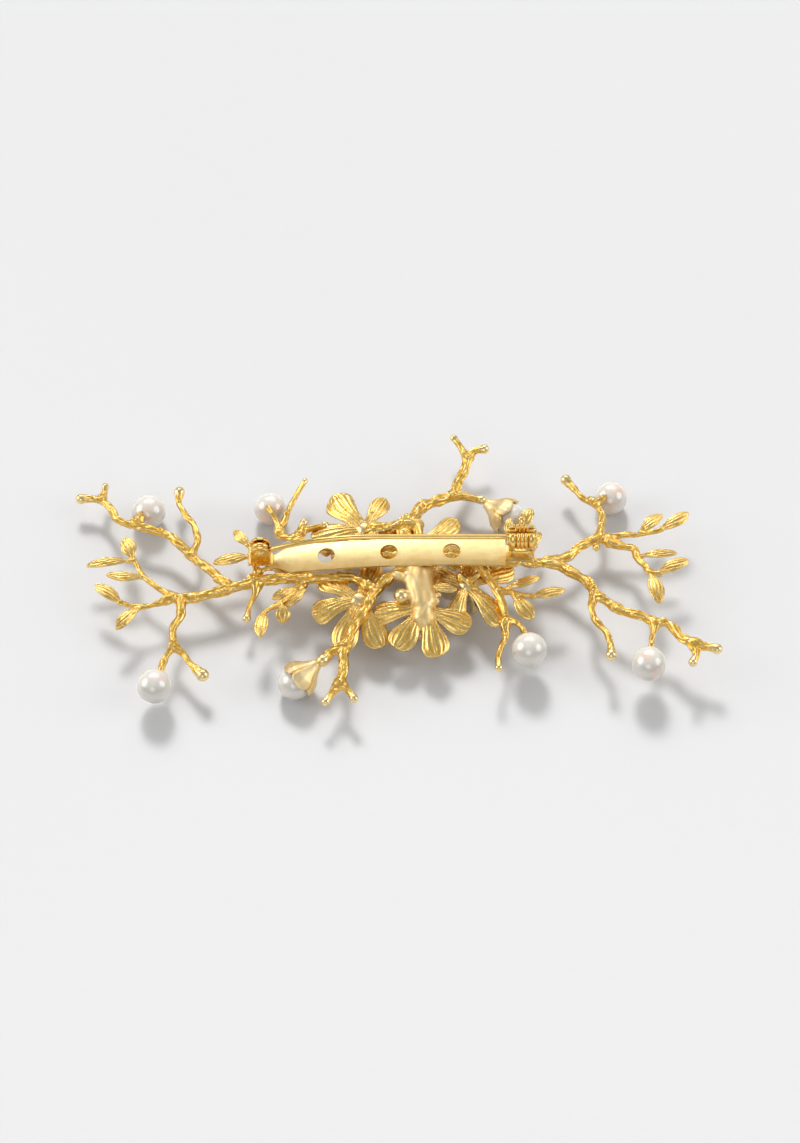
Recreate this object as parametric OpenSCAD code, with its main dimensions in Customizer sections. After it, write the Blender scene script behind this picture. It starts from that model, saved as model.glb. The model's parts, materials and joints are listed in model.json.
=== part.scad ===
// Blossom-branch brooch, lying face down: +Z is the pin side, +X runs from the pin's hinge to
// its catch, and the origin is the middle of the footprint on the surface it lies on.

/* [Pin back] */
// Width of the pin-back bar
bar_w = 4.5; // [4:0.1:5]
// Thickness of the bar's sheet
bar_t = 0.55; // [0.5:0.05:0.7]
// Length of the bar's full-width stretch
bar_len = 30.9; // [30:0.1:31]
// Diameter of the three solder holes in the bar
bar_hole_d = 2.5; // [2:0.1:3]
// Distance between neighbouring solder holes
bar_hole_pitch = 9.05; // [8.5:0.05:9.5]
// Radius that the bar is bent to
bar_bend_r = 125; // [120:1:140]
// Diameter of the pin stem's wire
stem_d = 0.76; // [0.7:0.02:0.8]
// Height of the stem's straight stretch above the surface
stem_z = 12.1; // [12:0.1:12.3]
// Diameter of the hinge rivet
rivet_d = 0.9; // [0.8:0.05:1]

/* [Catch] */
// Outer diameter of the catch's fixed rings
catch_d = 4; // [3.8:0.1:4.2]
// Outer diameter of the turning sleeve
sleeve_d = 2.6; // [2.4:0.1:2.7]
// Width of the rings' mouth
mouth_w = 1.3; // [1.2:0.1:1.4]

/* [Branches] */
// Factor on the thickness of every twig
twig_scale = 1; // [0.9:0.05:1.1]
// Thickness of a leaf
leaf_t = 0.5; // [0.4:0.05:0.7]
// Thickness of a petal
petal_t = 0.6; // [0.5:0.05:0.8]
// Diameter of a stamen's filament
stamen_d = 0.5; // [0.4:0.05:0.6]
// Diameter of a stamen's bead
bead_d = 1; // [0.9:0.05:1.2]

/* [Pearls] */
// Diameter of the drilled hole in a pearl
drill_d = 0.8; // [0.7:0.05:0.9]
// Diameter of the wire peg that a pearl is cemented to
peg_d = 0.7; // [0.6:0.05:0.65]
// Wall thickness of a bud's cup
cup_t = 0.35; // [0.3:0.05:0.4]

/* [Hidden] */

gold = [0.86, 0.66, 0.3];
pale_gold = [0.9, 0.78, 0.5];
deep_gold = [0.78, 0.55, 0.22];
pearl_white = [0.94, 0.92, 0.88];

// Facets of the cast pieces and of the turned ones
cast_fn = 8;
turned_fn = 64;
fit_gap = 0.05; // running clearance of the rivet, the sleeve and the pearls' pegs

// Pin back: the bar's middle line, its bend and its two ends
pin_y = 0.2;
bar_left = -14.7;
bar_right = bar_left + bar_len;
bar_crown_x = 8;
bar_top_z = 8.4;
bar_neck_left = -17.2;
bar_neck_w = 2;
bar_neck_right = 20.1;
hole_x0 = -9.65;
stem_r = stem_d / 2;
rivet_r = rivet_d / 2;
hinge_x = -19.1;
loop_r = rivet_r + fit_gap + stem_r;
arc_start_x = -2.5;
arc_r = 35;
arc_angle = 23;
seam_swell = 0.03; // how much thicker the wire is at both ends of its rise
seam_len = 0.3;
seam_gap = 0.05;
arc_end = [arc_start_x - arc_r * sin(arc_angle), stem_z - arc_r * (1 - cos(arc_angle))];
hinge_z = arc_end[1] - (arc_end[0] - hinge_x) * tan(arc_angle) + loop_r / cos(arc_angle);
rise_len = (arc_end[0] - hinge_x) / cos(arc_angle) - loop_r * tan(arc_angle);
taper_x = 15.5;
stem_end_x = 21;
ear_gap = 1.2;
ear_t = 0.4;
ear_w = 2.8;
hinge_floor_z = 6.3;
hinge_floor_len = 3.6;

// Catch: the rings, the sleeve that turns inside them and the foot on the bar's neck
catch_x0 = 16.5;
catch_len = 3.8;
ring_len = 0.9;
sleeve_bore_d = 1.4;
slot_w = 1.1;
flange_d = 3.7;
lever_reach = 2.5; // from the sleeve's axis to the middle of the lever's round end
lever_w = 0.9;
lever_t = 0.6;
lever_knob_d = 0.9;
lever_angle = 25;
foot_w = 2.4;
rest_gap = 0.15; // clearance of the lever's flange

// Cast twigs: [radius at the start, radius at the end, radius of the end's ball, route]
left_main = [
    [0.95, 0.85, 0, [
        [-2.5, -4.5, 5.6], [-6, -2.5, 5.3], [-9, -2.5, 5.1], [-13, -2.4, 5.3], [-16, -2.5, 5],
        [-19, -2.5, 4.7], [-21, -3, 4.6], [-24, -4, 4.6], [-27, -5, 4.6], [-29.5, -5.5, 4.6],
        [-32, -5.5, 4.6]]],
    [0.5, 0.4, 0.65, [[-19.5, -3, 4.6], [-20, -5, 4.3], [-20.5, -6, 4.1], [-21, -8.5, 3.9]]],
];
left_upper = [
    [0.75, 0.6, 0.8, [
        [-24, -3, 4.4], [-25.5, -1.5, 4.2], [-27.5, 0.5, 4.1], [-29, 1.5, 4.1],
        [-30.5, 3.5, 4.1], [-33, 5.5, 4.2], [-35.5, 6.5, 4.3], [-37.5, 7, 4.4],
        [-39, 7.5, 4.3], [-40.5, 8.5, 4.1], [-41.5, 10.5, 3.8], [-43, 12, 3.5],
        [-44.5, 12.5, 3.3], [-46, 12.5, 3.2]]],
    [0.5, 0.4, 0.6, [[-43, 12, 3.5], [-42.5, 13.5, 3.4], [-42.5, 14.5, 3.4]]],
    [0.5, 0.4, 0, [[-37.5, 7.5, 4.4], [-37, 8.5, 4.6], [-37, 9, 4.6]]],
];
left_upper_side = [
    [0.6, 0.45, 0.85, [
        [-29.5, 2, 4.1], [-28.5, 4.5, 4], [-29, 7, 3.9], [-30.5, 9.5, 3.7], [-31.5, 11.5, 3.6],
        [-31.5, 13.5, 3.5]]],
];
left_lower = [
    [0.75, 0.5, 0, [
        [-30.5, -5.5, 4.6], [-30.5, -8.5, 4.5], [-31.5, -10.5, 4.4], [-31.5, -13, 4.3],
        [-32.5, -15.5, 4.1], [-33, -17.2, 4]]],
    [0.55, 0.5, 0.95, [[-31.5, -13, 4.3], [-30, -14.5, 4.2], [-28.5, -16.5, 4.1], [-27, -18, 4.1]]],
];
left_far = [
    [0.55, 0.4, 0, [
        [-31.5, -5.5, 4.6], [-34, -3.5, 4.5], [-35.5, -2.5, 4.5], [-36.5, -1, 4.4],
        [-37.5, 1, 4.4]]],
    [0.5, 0.4, 0, [[-32, -5.5, 4.6], [-34, -6.5, 4.6], [-36.5, -7, 4.7], [-39, -6.5, 4.8]]],
];
hinge_side = [
    [0.5, 0.35, 0, [[-20.5, -2.5, 4.7], [-19, -1, 4.8], [-18, -0.5, 4.8]]],
    [0.45, 0.35, 0, [[-19.5, -1.5, 4.7], [-20, 0, 4.7], [-20.5, 1.5, 4.7]]],
    [0.4, 0.3, 0, [[-20, 0.5, 4.7], [-20.5, 2, 4.7], [-21, 3.5, 4.6]]],
];
lower_left = [
    [0.5, 0.4, 0, [[-13, -3, 4.8], [-14.5, -5, 4.9], [-16, -6.5, 5.2], [-18.5, -8.5, 5.6]]],
];
upper_left = [
    [0.7, 0.4, 0.45, [
        [-9.5, 2, 5.6], [-12, 3.5, 5.2], [-14.5, 4.5, 4.8], [-16.5, 5.5, 4.5], [-16, 7.5, 4.5],
        [-15, 10.5, 4.4], [-14, 13, 4.3], [-13, 15, 4.2]]],
    [0.5, 0.4, 0, [[-16.5, 5.5, 4.5], [-17, 7.5, 4.7], [-17.8, 9, 5], [-18.5, 10, 4.7]]],
    [0.55, 0.5, 0.65, [[-14.5, 4.5, 4.7], [-13, 6, 4.7], [-11.5, 6.5, 4.7], [-10, 7, 4.6]]],
    [0.5, 0.45, 0.6, [[-13.5, 5.5, 4.7], [-13, 7.5, 4.5]]],
];
lower = [
    [1, 0.8, 0, [
        [1.5, -2, 6.6], [-0.5, -3, 6.3], [-2.5, -5, 5.9], [-4, -8, 5.6], [-5.5, -10.5, 5.3],
        [-6.5, -13, 5.1], [-7, -15, 5], [-7, -17.5, 4.8], [-7.5, -20, 4.6]]],
    [0.6, 0.5, 0.65, [[-7.5, -19.5, 4.6], [-8.5, -21, 4.5], [-9.5, -22.5, 4.4]]],
    [0.6, 0.5, 0.65, [[-7.5, -19.5, 4.6], [-6.5, -20.5, 4.5], [-5.5, -22, 4.4]]],
    [0.7, 0.55, 0.95, [[-6.5, -13.5, 5.1], [-8.5, -14.5, 4.9], [-10, -16, 4.8]]],
];
upper = [
    [1.1, 0.75, 0, [
        [1.5, 4.5, 6], [2.5, 7, 5.2], [4, 10, 4.4], [6, 11.5, 3.9], [8, 12.5, 3.5], [9, 13, 3.5],
        [9.5, 15, 3.7], [10.5, 17, 4], [11, 19, 4.2]]],
    [0.55, 0.45, 0.6, [[11, 19, 4.2], [10, 21, 4.3], [9, 22.5, 4.4]]],
    [0.55, 0.5, 0.75, [[11, 19, 4.2], [12, 20, 4.4], [13.5, 20.5, 4.5]]],
    [0.7, 0.6, 0.75, [[8.5, 13, 3.5], [11, 12.5, 3.6], [13, 12, 3.7]]],
];
right_main = [
    [0.95, 0.7, 0, [
        [14.5, -1, 6.8], [17, 0, 5.9], [19, 0.5, 5.1], [21.5, 0.5, 4.6], [23, 1, 4.3],
        [25.5, 2, 4.1], [27, 3.5, 4], [28.5, 4.5, 4], [30, 5, 4], [31.5, 4.5, 4]]],
    [0.7, 0.5, 0, [
        [31.5, 4.5, 4], [33.5, 3.5, 4.3], [35, 3, 4.5], [35.5, 1, 4.9], [36.5, -0.5, 5.2],
        [37, -1.5, 5.4], [38.5, -2, 5.6]]],
];
right_upper = [
    [0.65, 0.5, 0.85, [
        [30, 5, 4], [30.5, 7.5, 4.1], [30.5, 9.5, 4.2], [29.5, 11, 4.2], [28, 12, 4.1],
        [26.5, 14, 3.9], [25.5, 15.5, 3.7]]],
    [0.5, 0.4, 0, [[29.5, 11, 4.2], [30.5, 11.5, 4.6], [31, 12, 4.6]]],
];
right_spray = [
    [0.5, 0.4, 0, [[31, 5, 4], [33.5, 5.5, 4.2], [35.5, 5.5, 4.5], [37, 5.5, 4.7], [39, 6, 4.9]]],
];
right_lower = [
    [0.85, 0.75, 0, [
        [22, 0.5, 4.6], [24, 0, 4.7], [26, -1.5, 4.9], [28, -3, 5.1], [29, -5, 5.3],
        [30.5, -6.5, 5.5], [32.5, -8, 5.6], [34.5, -9, 5.8], [36, -9.5, 5.9], [37.5, -10.5, 6],
        [39, -10.5, 6.1], [40, -11.5, 6.1], [41, -13, 6.2], [42.5, -14, 6.3]]],
    [0.75, 0.65, 0.8, [[42.5, -14, 6.3], [44, -14.5, 6.3], [46, -15, 6.3]]],
    [0.55, 0.5, 0.7, [[42.5, -14, 6.3], [43, -16, 6.2], [42.5, -17, 6.1]]],
    [0.5, 0.4, 0, [[37.5, -10.5, 6], [37, -12.5, 5.7], [36.7, -14.2, 5.4]]],
];
right_down = [
    [0.6, 0.5, 0.85, [
        [29, -5, 5.3], [28.5, -8, 5.4], [29.5, -10.5, 5.4], [30.5, -12, 5.5], [31, -14, 5.5],
        [31, -15.5, 5.5]]],
];
centre = [
    [0.8, 0.6, 0, [
        [12, -0.5, 7], [14, -3.5, 6.2], [15.5, -6.5, 5.8], [16, -8.5, 5.7], [16, -10.5, 5.6]]],
    [0.55, 0.45, 0.6, [[16, -10, 5.6], [16, -12.5, 5.5], [15, -15.5, 5.4], [15, -17.5, 5.3]]],
    [0.5, 0.4, 0, [[16, -10, 5.6], [17.5, -10, 5.5], [18.5, -11, 5.4], [18.8, -11.8, 5.3]]],
];
centre_spray = [
    [0.45, 0.35, 0, [[15, -5, 5.9], [17.5, -5.5, 5.9], [20, -6, 5.9]]],
];
catch_stalks = [
    [0.5, 0.35, 0, [[18.5, 0.5, 5.1], [18.5, 3.5, 4.9], [18.7, 6.1, 5]]],
    [0.4, 0.3, 0, [[18.5, 2, 4.9], [17.3, 3.2, 5.4], [17, 4, 5.6]]],
    [0.4, 0.3, 0, [[18.5, 1.5, 4.8], [20, 2.5, 4.4], [20.6, 3.5, 4.2]]],
];
hub_spine = [
    [1, 1, 0, [
        [-8, 0.8, 5.8], [-4, 0.8, 6.3], [0, 0.6, 6.6], [3.5, 0.4, 6.8], [8, 0.2, 6.85],
        [12.5, 0, 6.8]]],
    [1.2, 1.4, 0, [[3.3, 0, 6.8], [3.7, -3, 6.8], [4, -6, 6.6], [4.3, -8, 6.2]]],
    [1.2, 1.1, 0, [[-3, 5.5, 5.4], [0, 6, 5.6], [3.5, 6.5, 5.4]]],
    [0.9, 0.9, 0, [[-3, 5.5, 5.4], [-2.5, 1, 6.2]]],
    [0.9, 0.9, 0, [[3.5, 6.5, 5.4], [4, 1, 6.4]]],
];
hub_knobs = [[1.2, -6.5, 6.8, 1.1], [1.8, -3.2, 7.1, 0.7], [6.2, -7.2, 6.5, 0.55], [6.6, -6, 6.3, 0.45]];

// Leaves: [base, tip, width]
left_far_leaves = [
    [[-37.8, 1.3, 4.4], [-39, 5, 4.4], 2.4], [[-38.4, 0.9, 4.5], [-44.5, 0, 4.5], 1.5],
    [[-36.2, -1.9, 4.5], [-41.5, -1.6, 4.7], 1.6], [[-39.1, -6.5, 4.8], [-43, -3.6, 5], 2],
    [[-36.4, -7.2, 4.8], [-39.6, -11, 5], 1.9],
];
hinge_leaves = [
    [[-20.8, 1.5, 4.7], [-26.1, 0.4, 4.7], 1.8], [[-20.9, 3.5, 4.6], [-23.2, 6.3, 4.2], 1.7],
    [[-17.8, -0.4, 4.8], [-14.4, -2, 4], 1.3],
];
lower_left_leaves = [
    [[-16.1, -6.8, 5.2], [-15.8, -9.7, 4.4], 2.2], [[-18.4, -8.4, 5.6], [-18.9, -13, 6.2], 2.1],
    [[-14.2, -4, 5], [-17.4, -5.9, 5], 1.5], [[-12.6, -4.3, 5], [-15.8, -6.9, 4.4], 1.5],
];
right_spray_leaves = [
    [[36, 5.7, 4.5], [39.4, 8.8, 4.6], 1.9], [[39.1, 6.1, 4.9], [43.2, 8.8, 5.1], 2],
    [[36, 1.5, 4.9], [41.2, 1.7, 5.3], 1.4],
];
right_tip = [
    [[38.3, -1.8, 5.6], [42.7, 0.1, 6], 2], [[37.1, -2, 5.5], [38.3, -7, 5.6], 2.3],
];
centre_leaves = [
    [[16.4, -4.6, 5.9], [21.2, -2.7, 5.9], 1.5], [[20, -6, 5.9], [24.7, -5, 6.1], 1.8],
    [[17.4, -6, 5.9], [20, -9.7, 5.6], 2.6],
];
catch_leaf_set = [
    [[18.7, 6.1, 5], [20.3, 9.2, 5.6], 2], [[17, 4, 5.6], [17, 7.2, 6.2], 1.5],
    [[20.6, 3.5, 4.2], [21.5, 6.2, 3.9], 1.2],
];

// Blossoms: [middle, [[a petal's outer end, its width], ...]]
bloom_centre = [[4.3, -8, 5.9], [
    [[0.2, -13.7, 4.5], 4.2], [[6.4, -15.2, 4.5], 4.2], [[11.2, -10.1, 4.7], 4],
    [[-2.7, -8.3, 4.8], 3.8], [[6.5, -1.4, 4.8], 3.8]]];
bloom_left = [[-4.9, -6.1, 5.2], [
    [[-11.6, -8.2, 4.4], 4], [[-7.4, -13.6, 3.9], 4], [[-1.5, -13.2, 3.8], 4],
    [[-10.5, -1.5, 4.2], 3.8], [[-2.5, 0.5, 4.2], 3.8]]];
bloom_upper_left = [[-4.2, 6.1, 4.9], [
    [[-8.8, 12.4, 4.2], 4.6], [[-1.2, 11.6, 4.6], 3], [[-12, 5, 4.2], 4.2],
    [[-7.5, -0.2, 4.2], 3.8], [[1.8, 3.4, 4], 3.8]]];
bloom_right = [[10.6, -3.7, 5.4], [
    [[8.2, -9.8, 4.5], 3.2], [[15.7, -9.7, 4.4], 3.8], [[17.4, -0.4, 4.4], 3.8],
    [[11.6, 3.2, 4.2], 3.8], [[4.5, -0.6, 4], 3.8]]];
bloom_upper_right = [[4.2, 3.4, 5], [
    [[9.4, 8.1, 4.2], 3.4], [[1.8, 9.4, 3.8], 3.4], [[-2.6, 4, 3.6], 3.8],
    [[2.4, -2.8, 3.6], 3.8], [[10.4, 1.2, 3.6], 3.8]]];

// Pearls: [centre, radius, end of the stub or bottom of the cup that holds it]
left_upper_pearl = [[-36, 10.6, 2.55], 2.55, [-37, 9, 4.6]];
left_lower_pearl = [[-33.8, -19.8, 4.1], 2.5, [-33, -17.2, 4]];
upper_left_pearl = [[-18.1, 11.2, 2.5], 2.4, [-18.5, 10, 4.7]];
centre_pearl = [[19.4, -14.3, 4.9], 2.55, [18.8, -11.8, 5.3]];
right_upper_pearl = [[32.1, 13.1, 2.5], 2.45, [31, 12, 4.6]];
right_lower_pearl = [[36.3, -16.8, 5.3], 2.5, [36.7, -14.2, 5.4]];
lower_bud_pearl = [[-14, -18.4, 2.45], 2.4, [-10.6, -16.2, 4.6]];
upper_bud_pearl = [[17.2, 9.2, 3], 2.4, [13.5, 11.6, 3.7]];
stub_pearls = [left_upper_pearl, left_lower_pearl, upper_left_pearl, centre_pearl,
    right_upper_pearl, right_lower_pearl];
bud_pearls = [lower_bud_pearl, upper_bud_pearl];
stub_r = 0.4;
peg_depth = 1.8;
stub_grip = 0.3;
drill_spare = 0.4; // how much deeper the hole is than its peg
cup_len = 4.1;
cup_floor = 0.9;

// A ball of the cast work, as wide as the smooth ball that it stands for
module cast_ball(r) {
    sphere(r = r / cos(180 / cast_fn), $fn = cast_fn);
}

// One twig that tapers along its route and may end in a ball
module twig(run) {
    route = run[3];
    last = len(route) - 1;
    function radius(i) = twig_scale * (run[0] + (run[1] - run[0]) * i / last);
    for (i = [0 : last - 1])
        hull() {
            translate(route[i]) cast_ball(radius(i));
            translate(route[i + 1]) cast_ball(radius(i + 1));
        }
    if (run[2] > 0)
        translate(route[last]) cast_ball(run[2]);
}

module twigs(runs) {
    for (run = runs)
        twig(run);
}

// Turns +X onto the line from one point to another
module along_x(from, to) {
    d = to - from;
    translate(from) rotate([0, -asin(d[2] / norm(d)), atan2(d[1], d[0])]) children();
}

// Turns +Z onto the line from one point to another
module along_z(from, to) {
    d = to - from;
    translate(from) rotate([0, acos(d[2] / norm(d)), atan2(d[1], d[0])]) children();
}

// A thin oval leaf, a little arched
module leaf(base, tip, width) {
    length = norm(tip - base);
    module belly() {
        translate([length * 0.55, 0, leaf_t * 0.3])
            cylinder(r = width / 2, h = leaf_t, center = true, $fn = 10);
    }
    along_x(base, tip) {
        hull() {
            sphere(r = 0.35, $fn = 6);
            belly();
        }
        hull() {
            belly();
            translate([length - 0.25, 0, 0]) sphere(r = 0.25, $fn = 6);
        }
    }
}

module leaves(set) {
    for (item = set)
        leaf(item[0], item[1], item[2]);
}

// A spoon-shaped petal: a narrow claw, then a broad rounded end
module petal(middle, end, width) {
    length = norm(end - middle);
    module waist() {
        translate([length * 0.5, 0, 0.35])
            cylinder(r = width * 0.32, h = petal_t, center = true, $fn = 10);
    }
    along_x(middle, end) {
        hull() {
            cast_ball(0.8);
            waist();
        }
        hull() {
            waist();
            translate([length - width / 2, 0, 0])
                cylinder(r = width / 2, h = petal_t, center = true, $fn = 12);
        }
    }
}

module blossom(bloom) {
    for (item = bloom[1])
        petal(bloom[0], item[0], item[1]);
}

// A ring of filaments and a middle one under a blossom, each with a bead at the surface
module stamens(bloom) {
    top = bloom[0] - [0, 0, 0.3];
    bead_r = bead_d / 2;
    module filament(foot) {
        twig([stamen_d / 2, stamen_d / 2, bead_r, [top, foot]]);
    }
    for (k = [0 : 6])
        filament([top[0] + 1.7 * cos(k * 360 / 7), top[1] + 1.7 * sin(k * 360 / 7), bead_r]);
    filament([top[0], top[1], bead_r]);
}

module bar_bend(r) {
    translate([bar_crown_x, 0, bar_top_z - bar_bend_r])
        rotate([90, 0, 0])
            cylinder(r = r, h = 3 * bar_w, center = true, $fn = 720);
}

// The bar: a bent strip with a neck at each end, three holes and the hinge's two ears
module pin_bar() {
    color(pale_gold) {
        difference() {
            intersection() {
                linear_extrude(height = bar_top_z + 1)
                    polygon([
                        [hinge_x - 1, pin_y - bar_neck_w / 2], [bar_neck_left, pin_y - bar_neck_w / 2],
                        [bar_left, pin_y - bar_w / 2], [bar_right, pin_y - bar_w / 2],
                        [bar_right, pin_y - foot_w / 2], [bar_neck_right, pin_y - foot_w / 2],
                        [bar_neck_right, pin_y + foot_w / 2], [bar_right, pin_y + foot_w / 2],
                        [bar_right, pin_y + bar_w / 2], [bar_left, pin_y + bar_w / 2],
                        [bar_neck_left, pin_y + bar_neck_w / 2], [hinge_x - 1, pin_y + bar_neck_w / 2]]);
                difference() {
                    bar_bend(bar_bend_r);
                    bar_bend(bar_bend_r - bar_t);
                }
            }
            for (k = [0 : 2])
                translate([hole_x0 + k * bar_hole_pitch, pin_y, 0])
                    cylinder(d = bar_hole_d, h = 2 * bar_top_z, $fn = turned_fn);
        }
        hinge_ears();
    }
}

// Two ears that rise from the bar's neck and carry the rivet
module hinge_ears() {
    ear_y = pin_y + ear_gap / 2 + ear_t / 2;
    for (side = [-1, 1])
        translate([0, pin_y + side * (ear_y - pin_y), 0])
            difference() {
                union() {
                    translate([hinge_x - ear_w / 2, -ear_t / 2, hinge_floor_z - bar_t])
                        cube([ear_w, ear_t, hinge_z - hinge_floor_z + bar_t]);
                    translate([hinge_x, 0, hinge_z]) rotate([90, 0, 0])
                        cylinder(d = ear_w, h = ear_t, center = true, $fn = turned_fn);
                }
                translate([hinge_x, 0, hinge_z]) rotate([90, 0, 0])
                    cylinder(r = rivet_r, h = 2 * ear_t, center = true, $fn = turned_fn);
            }
    translate([hinge_x - hinge_floor_len / 2, pin_y - ear_gap / 2 - ear_t, hinge_floor_z - bar_t])
        cube([hinge_floor_len, ear_gap + 2 * ear_t, bar_t]);
}

// The rivet, with a domed head outside each ear
module hinge_rivet() {
    half = ear_gap / 2 + ear_t;
    head_t = 0.3;
    color(deep_gold) translate([hinge_x, pin_y, hinge_z]) rotate([90, 0, 0]) {
        cylinder(r = rivet_r, h = 2 * half, center = true, $fn = turned_fn);
        for (side = [0, 180])
            rotate([side, 0, 0]) translate([0, 0, half])
                cylinder(r1 = rivet_r * 1.7, r2 = rivet_r, h = head_t, $fn = turned_fn);
    }
}

// The stem: an eye of three quarters of a turn round the rivet, a short rise, an arc, a
// straight stretch and a tapered point
module pin_stem() {
    color(gold) translate([0, pin_y, 0]) {
        translate([hinge_x, 0, hinge_z]) rotate([90, 0, 0]) rotate([0, 0, arc_angle])
            wire_arc(loop_r, 270);
        translate([arc_end[0], 0, arc_end[1]]) rotate([0, -90 - arc_angle, 0]) {
            translate([0, 0, seam_gap])
                cylinder(r = stem_r, h = rise_len - 2 * seam_gap, $fn = turned_fn);
            for (seam = [0, rise_len])
                translate([0, 0, seam - seam_len / 2])
                    cylinder(r = stem_r + seam_swell, h = seam_len, $fn = turned_fn);
        }
        translate([arc_start_x, 0, stem_z - arc_r]) rotate([90, 0, 0]) rotate([0, 0, 90])
            wire_arc(arc_r, arc_angle);
        translate([arc_start_x, 0, stem_z]) rotate([0, 90, 0])
            cylinder(r = stem_r, h = taper_x - arc_start_x, $fn = turned_fn);
        translate([taper_x, 0, stem_z]) rotate([0, 90, 0])
            cylinder(r1 = stem_r, r2 = 0.1, h = stem_end_x - taper_x, $fn = turned_fn);
    }
}

// A bend of the stem's wire, from +X through the given angle
module wire_arc(r, angle) {
    rotate_extrude(angle = angle, $fn = turned_fn * 3)
        translate([r, 0]) circle(r = stem_r, $fn = turned_fn);
}

// A ring along X with a mouth that faces +Z
module open_ring(length, outer_d, inner_d, mouth) {
    difference() {
        rotate([0, 90, 0]) cylinder(d = outer_d, h = length, $fn = turned_fn);
        translate([-1, 0, 0]) rotate([0, 90, 0])
            cylinder(d = inner_d, h = length + 2, $fn = turned_fn);
        translate([-1, -mouth / 2, 0]) cube([length + 2, mouth, outer_d]);
    }
}

// Two open rings on one foot, which stands on the bar's neck
module catch_rings() {
    foot_top = stem_z - flange_d / 2 - rest_gap;
    foot_bottom = bar_top_z - 0.7;
    color(deep_gold) {
        for (x = [catch_x0, catch_x0 + catch_len - ring_len])
            translate([x, pin_y, stem_z])
                open_ring(ring_len, catch_d, sleeve_d + 2 * fit_gap, mouth_w);
        for (x = [catch_x0, catch_x0 + catch_len - ring_len])
            translate([x, pin_y - foot_w / 2, foot_bottom])
                cube([ring_len, foot_w, stem_z - sleeve_d / 2 - 2 * fit_gap - foot_bottom]);
        translate([catch_x0, pin_y - foot_w / 2, foot_bottom])
            cube([catch_len, foot_w, foot_top - foot_bottom]);
    }
}

// The slotted sleeve that turns in the rings and locks the stem, with its thumb lever
module catch_sleeve() {
    gap_x = catch_x0 + ring_len + rest_gap;
    gap_len = catch_len - 2 * ring_len - 2 * rest_gap;
    color(gold) translate([0, pin_y, stem_z]) {
        translate([catch_x0 - 0.2, 0, 0])
            open_ring(catch_len + 0.4, sleeve_d, sleeve_bore_d, slot_w);
        translate([gap_x, 0, 0])
            open_ring(gap_len, flange_d, sleeve_bore_d, slot_w);
        translate([gap_x + (gap_len - lever_w) / 2, 0, 0]) rotate([lever_angle, 0, 0]) {
            translate([0, sleeve_d / 2, -lever_t / 2])
                cube([lever_w, lever_reach - sleeve_d / 2, lever_t]);
            translate([0, lever_reach, 0]) rotate([0, 90, 0])
                cylinder(d = lever_knob_d, h = lever_w, $fn = turned_fn);
        }
    }
}

// The soldered root of all the boughs: a smooth column, a spine under the bar and small knobs
module hub_casting() {
    color(gold) {
        twigs(hub_spine);
        for (knob = hub_knobs)
            translate([knob[0], knob[1], knob[2]]) cast_ball(knob[3]);
        leaf([5.4, -5.1, 6.6], [9.2, -5.2, 6.3], 1.5);
    }
}

module left_main_bough() { color(gold) twigs(left_main); }
module left_upper_bough() { color(gold) twigs(left_upper); }
module left_upper_twig() { color(gold) twigs(left_upper_side); }
module left_lower_bough() { color(gold) twigs(left_lower); }
module left_far_spray() { color(gold) { twigs(left_far); leaves(left_far_leaves); } }
module hinge_leaf_twig() { color(gold) { twigs(hinge_side); leaves(hinge_leaves); } }
module lower_left_spray() { color(gold) { twigs(lower_left); leaves(lower_left_leaves); } }
module upper_left_sprig() { color(gold) twigs(upper_left); }
module lower_bough() { color(gold) twigs(lower); }
module upper_bough() { color(gold) twigs(upper); }
module right_main_bough() { color(gold) twigs(right_main); }
module right_upper_twig() { color(gold) twigs(right_upper); }
module right_leaf_spray() { color(gold) { twigs(right_spray); leaves(right_spray_leaves); } }
module right_tip_leaves() { color(gold) leaves(right_tip); }
module right_lower_bough() { color(gold) twigs(right_lower); }
module right_down_twig() { color(gold) twigs(right_down); }
module centre_twig() { color(gold) twigs(centre); }
module centre_leaf_spray() { color(gold) { twigs(centre_spray); leaves(centre_leaves); } }
module catch_leaves() { color(gold) { twigs(catch_stalks); leaves(catch_leaf_set); } }

module blossom_centre() { color(gold) blossom(bloom_centre); }
module blossom_left() { color(gold) blossom(bloom_left); }
module blossom_upper_left() { color(gold) blossom(bloom_upper_left); }
module blossom_right() { color(gold) blossom(bloom_right); }
module blossom_upper_right() { color(gold) blossom(bloom_upper_right); }

module stamens_centre() { color(deep_gold) stamens(bloom_centre); }
module stamens_left() { color(deep_gold) stamens(bloom_left); }
module stamens_upper_left() { color(deep_gold) stamens(bloom_upper_left); }
module stamens_right() { color(deep_gold) stamens(bloom_right); }
module stamens_upper_right() { color(deep_gold) stamens(bloom_upper_right); }

// A bud's cup: a flaring shell whose rim is cut into five lobes, open towards its pearl
module bud_cup(pearl) {
    inner = [[0, cup_floor], [0.7, cup_floor + 0.2], [1.6, 2.3], [2.25, 3.2], [2.5, cup_len]];
    outer = [[2.5 + cup_t, cup_len], [2.25 + cup_t, 3.1], [1.6 + cup_t, 2], [0.95, 0.6],
        [0.75, 0], [0, 0]];
    along_z(pearl[2], pearl[0])
        difference() {
            rotate_extrude($fn = turned_fn) polygon(concat(inner, outer));
            for (k = [0 : 4])
                rotate([0, 0, k * 72]) translate([2.6, 0, cup_len + 0.1]) rotate([0, 90, 0])
                    cylinder(r = 0.55, h = 1.6, center = true, $fn = 32);
            translate([0, 0, -1]) cylinder(d = peg_d, h = 3, $fn = turned_fn);
        }
}

module lower_bud_cup() { color(gold) bud_cup(lower_bud_pearl); }
module upper_bud_cup() { color(gold) bud_cup(upper_bud_pearl); }

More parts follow.
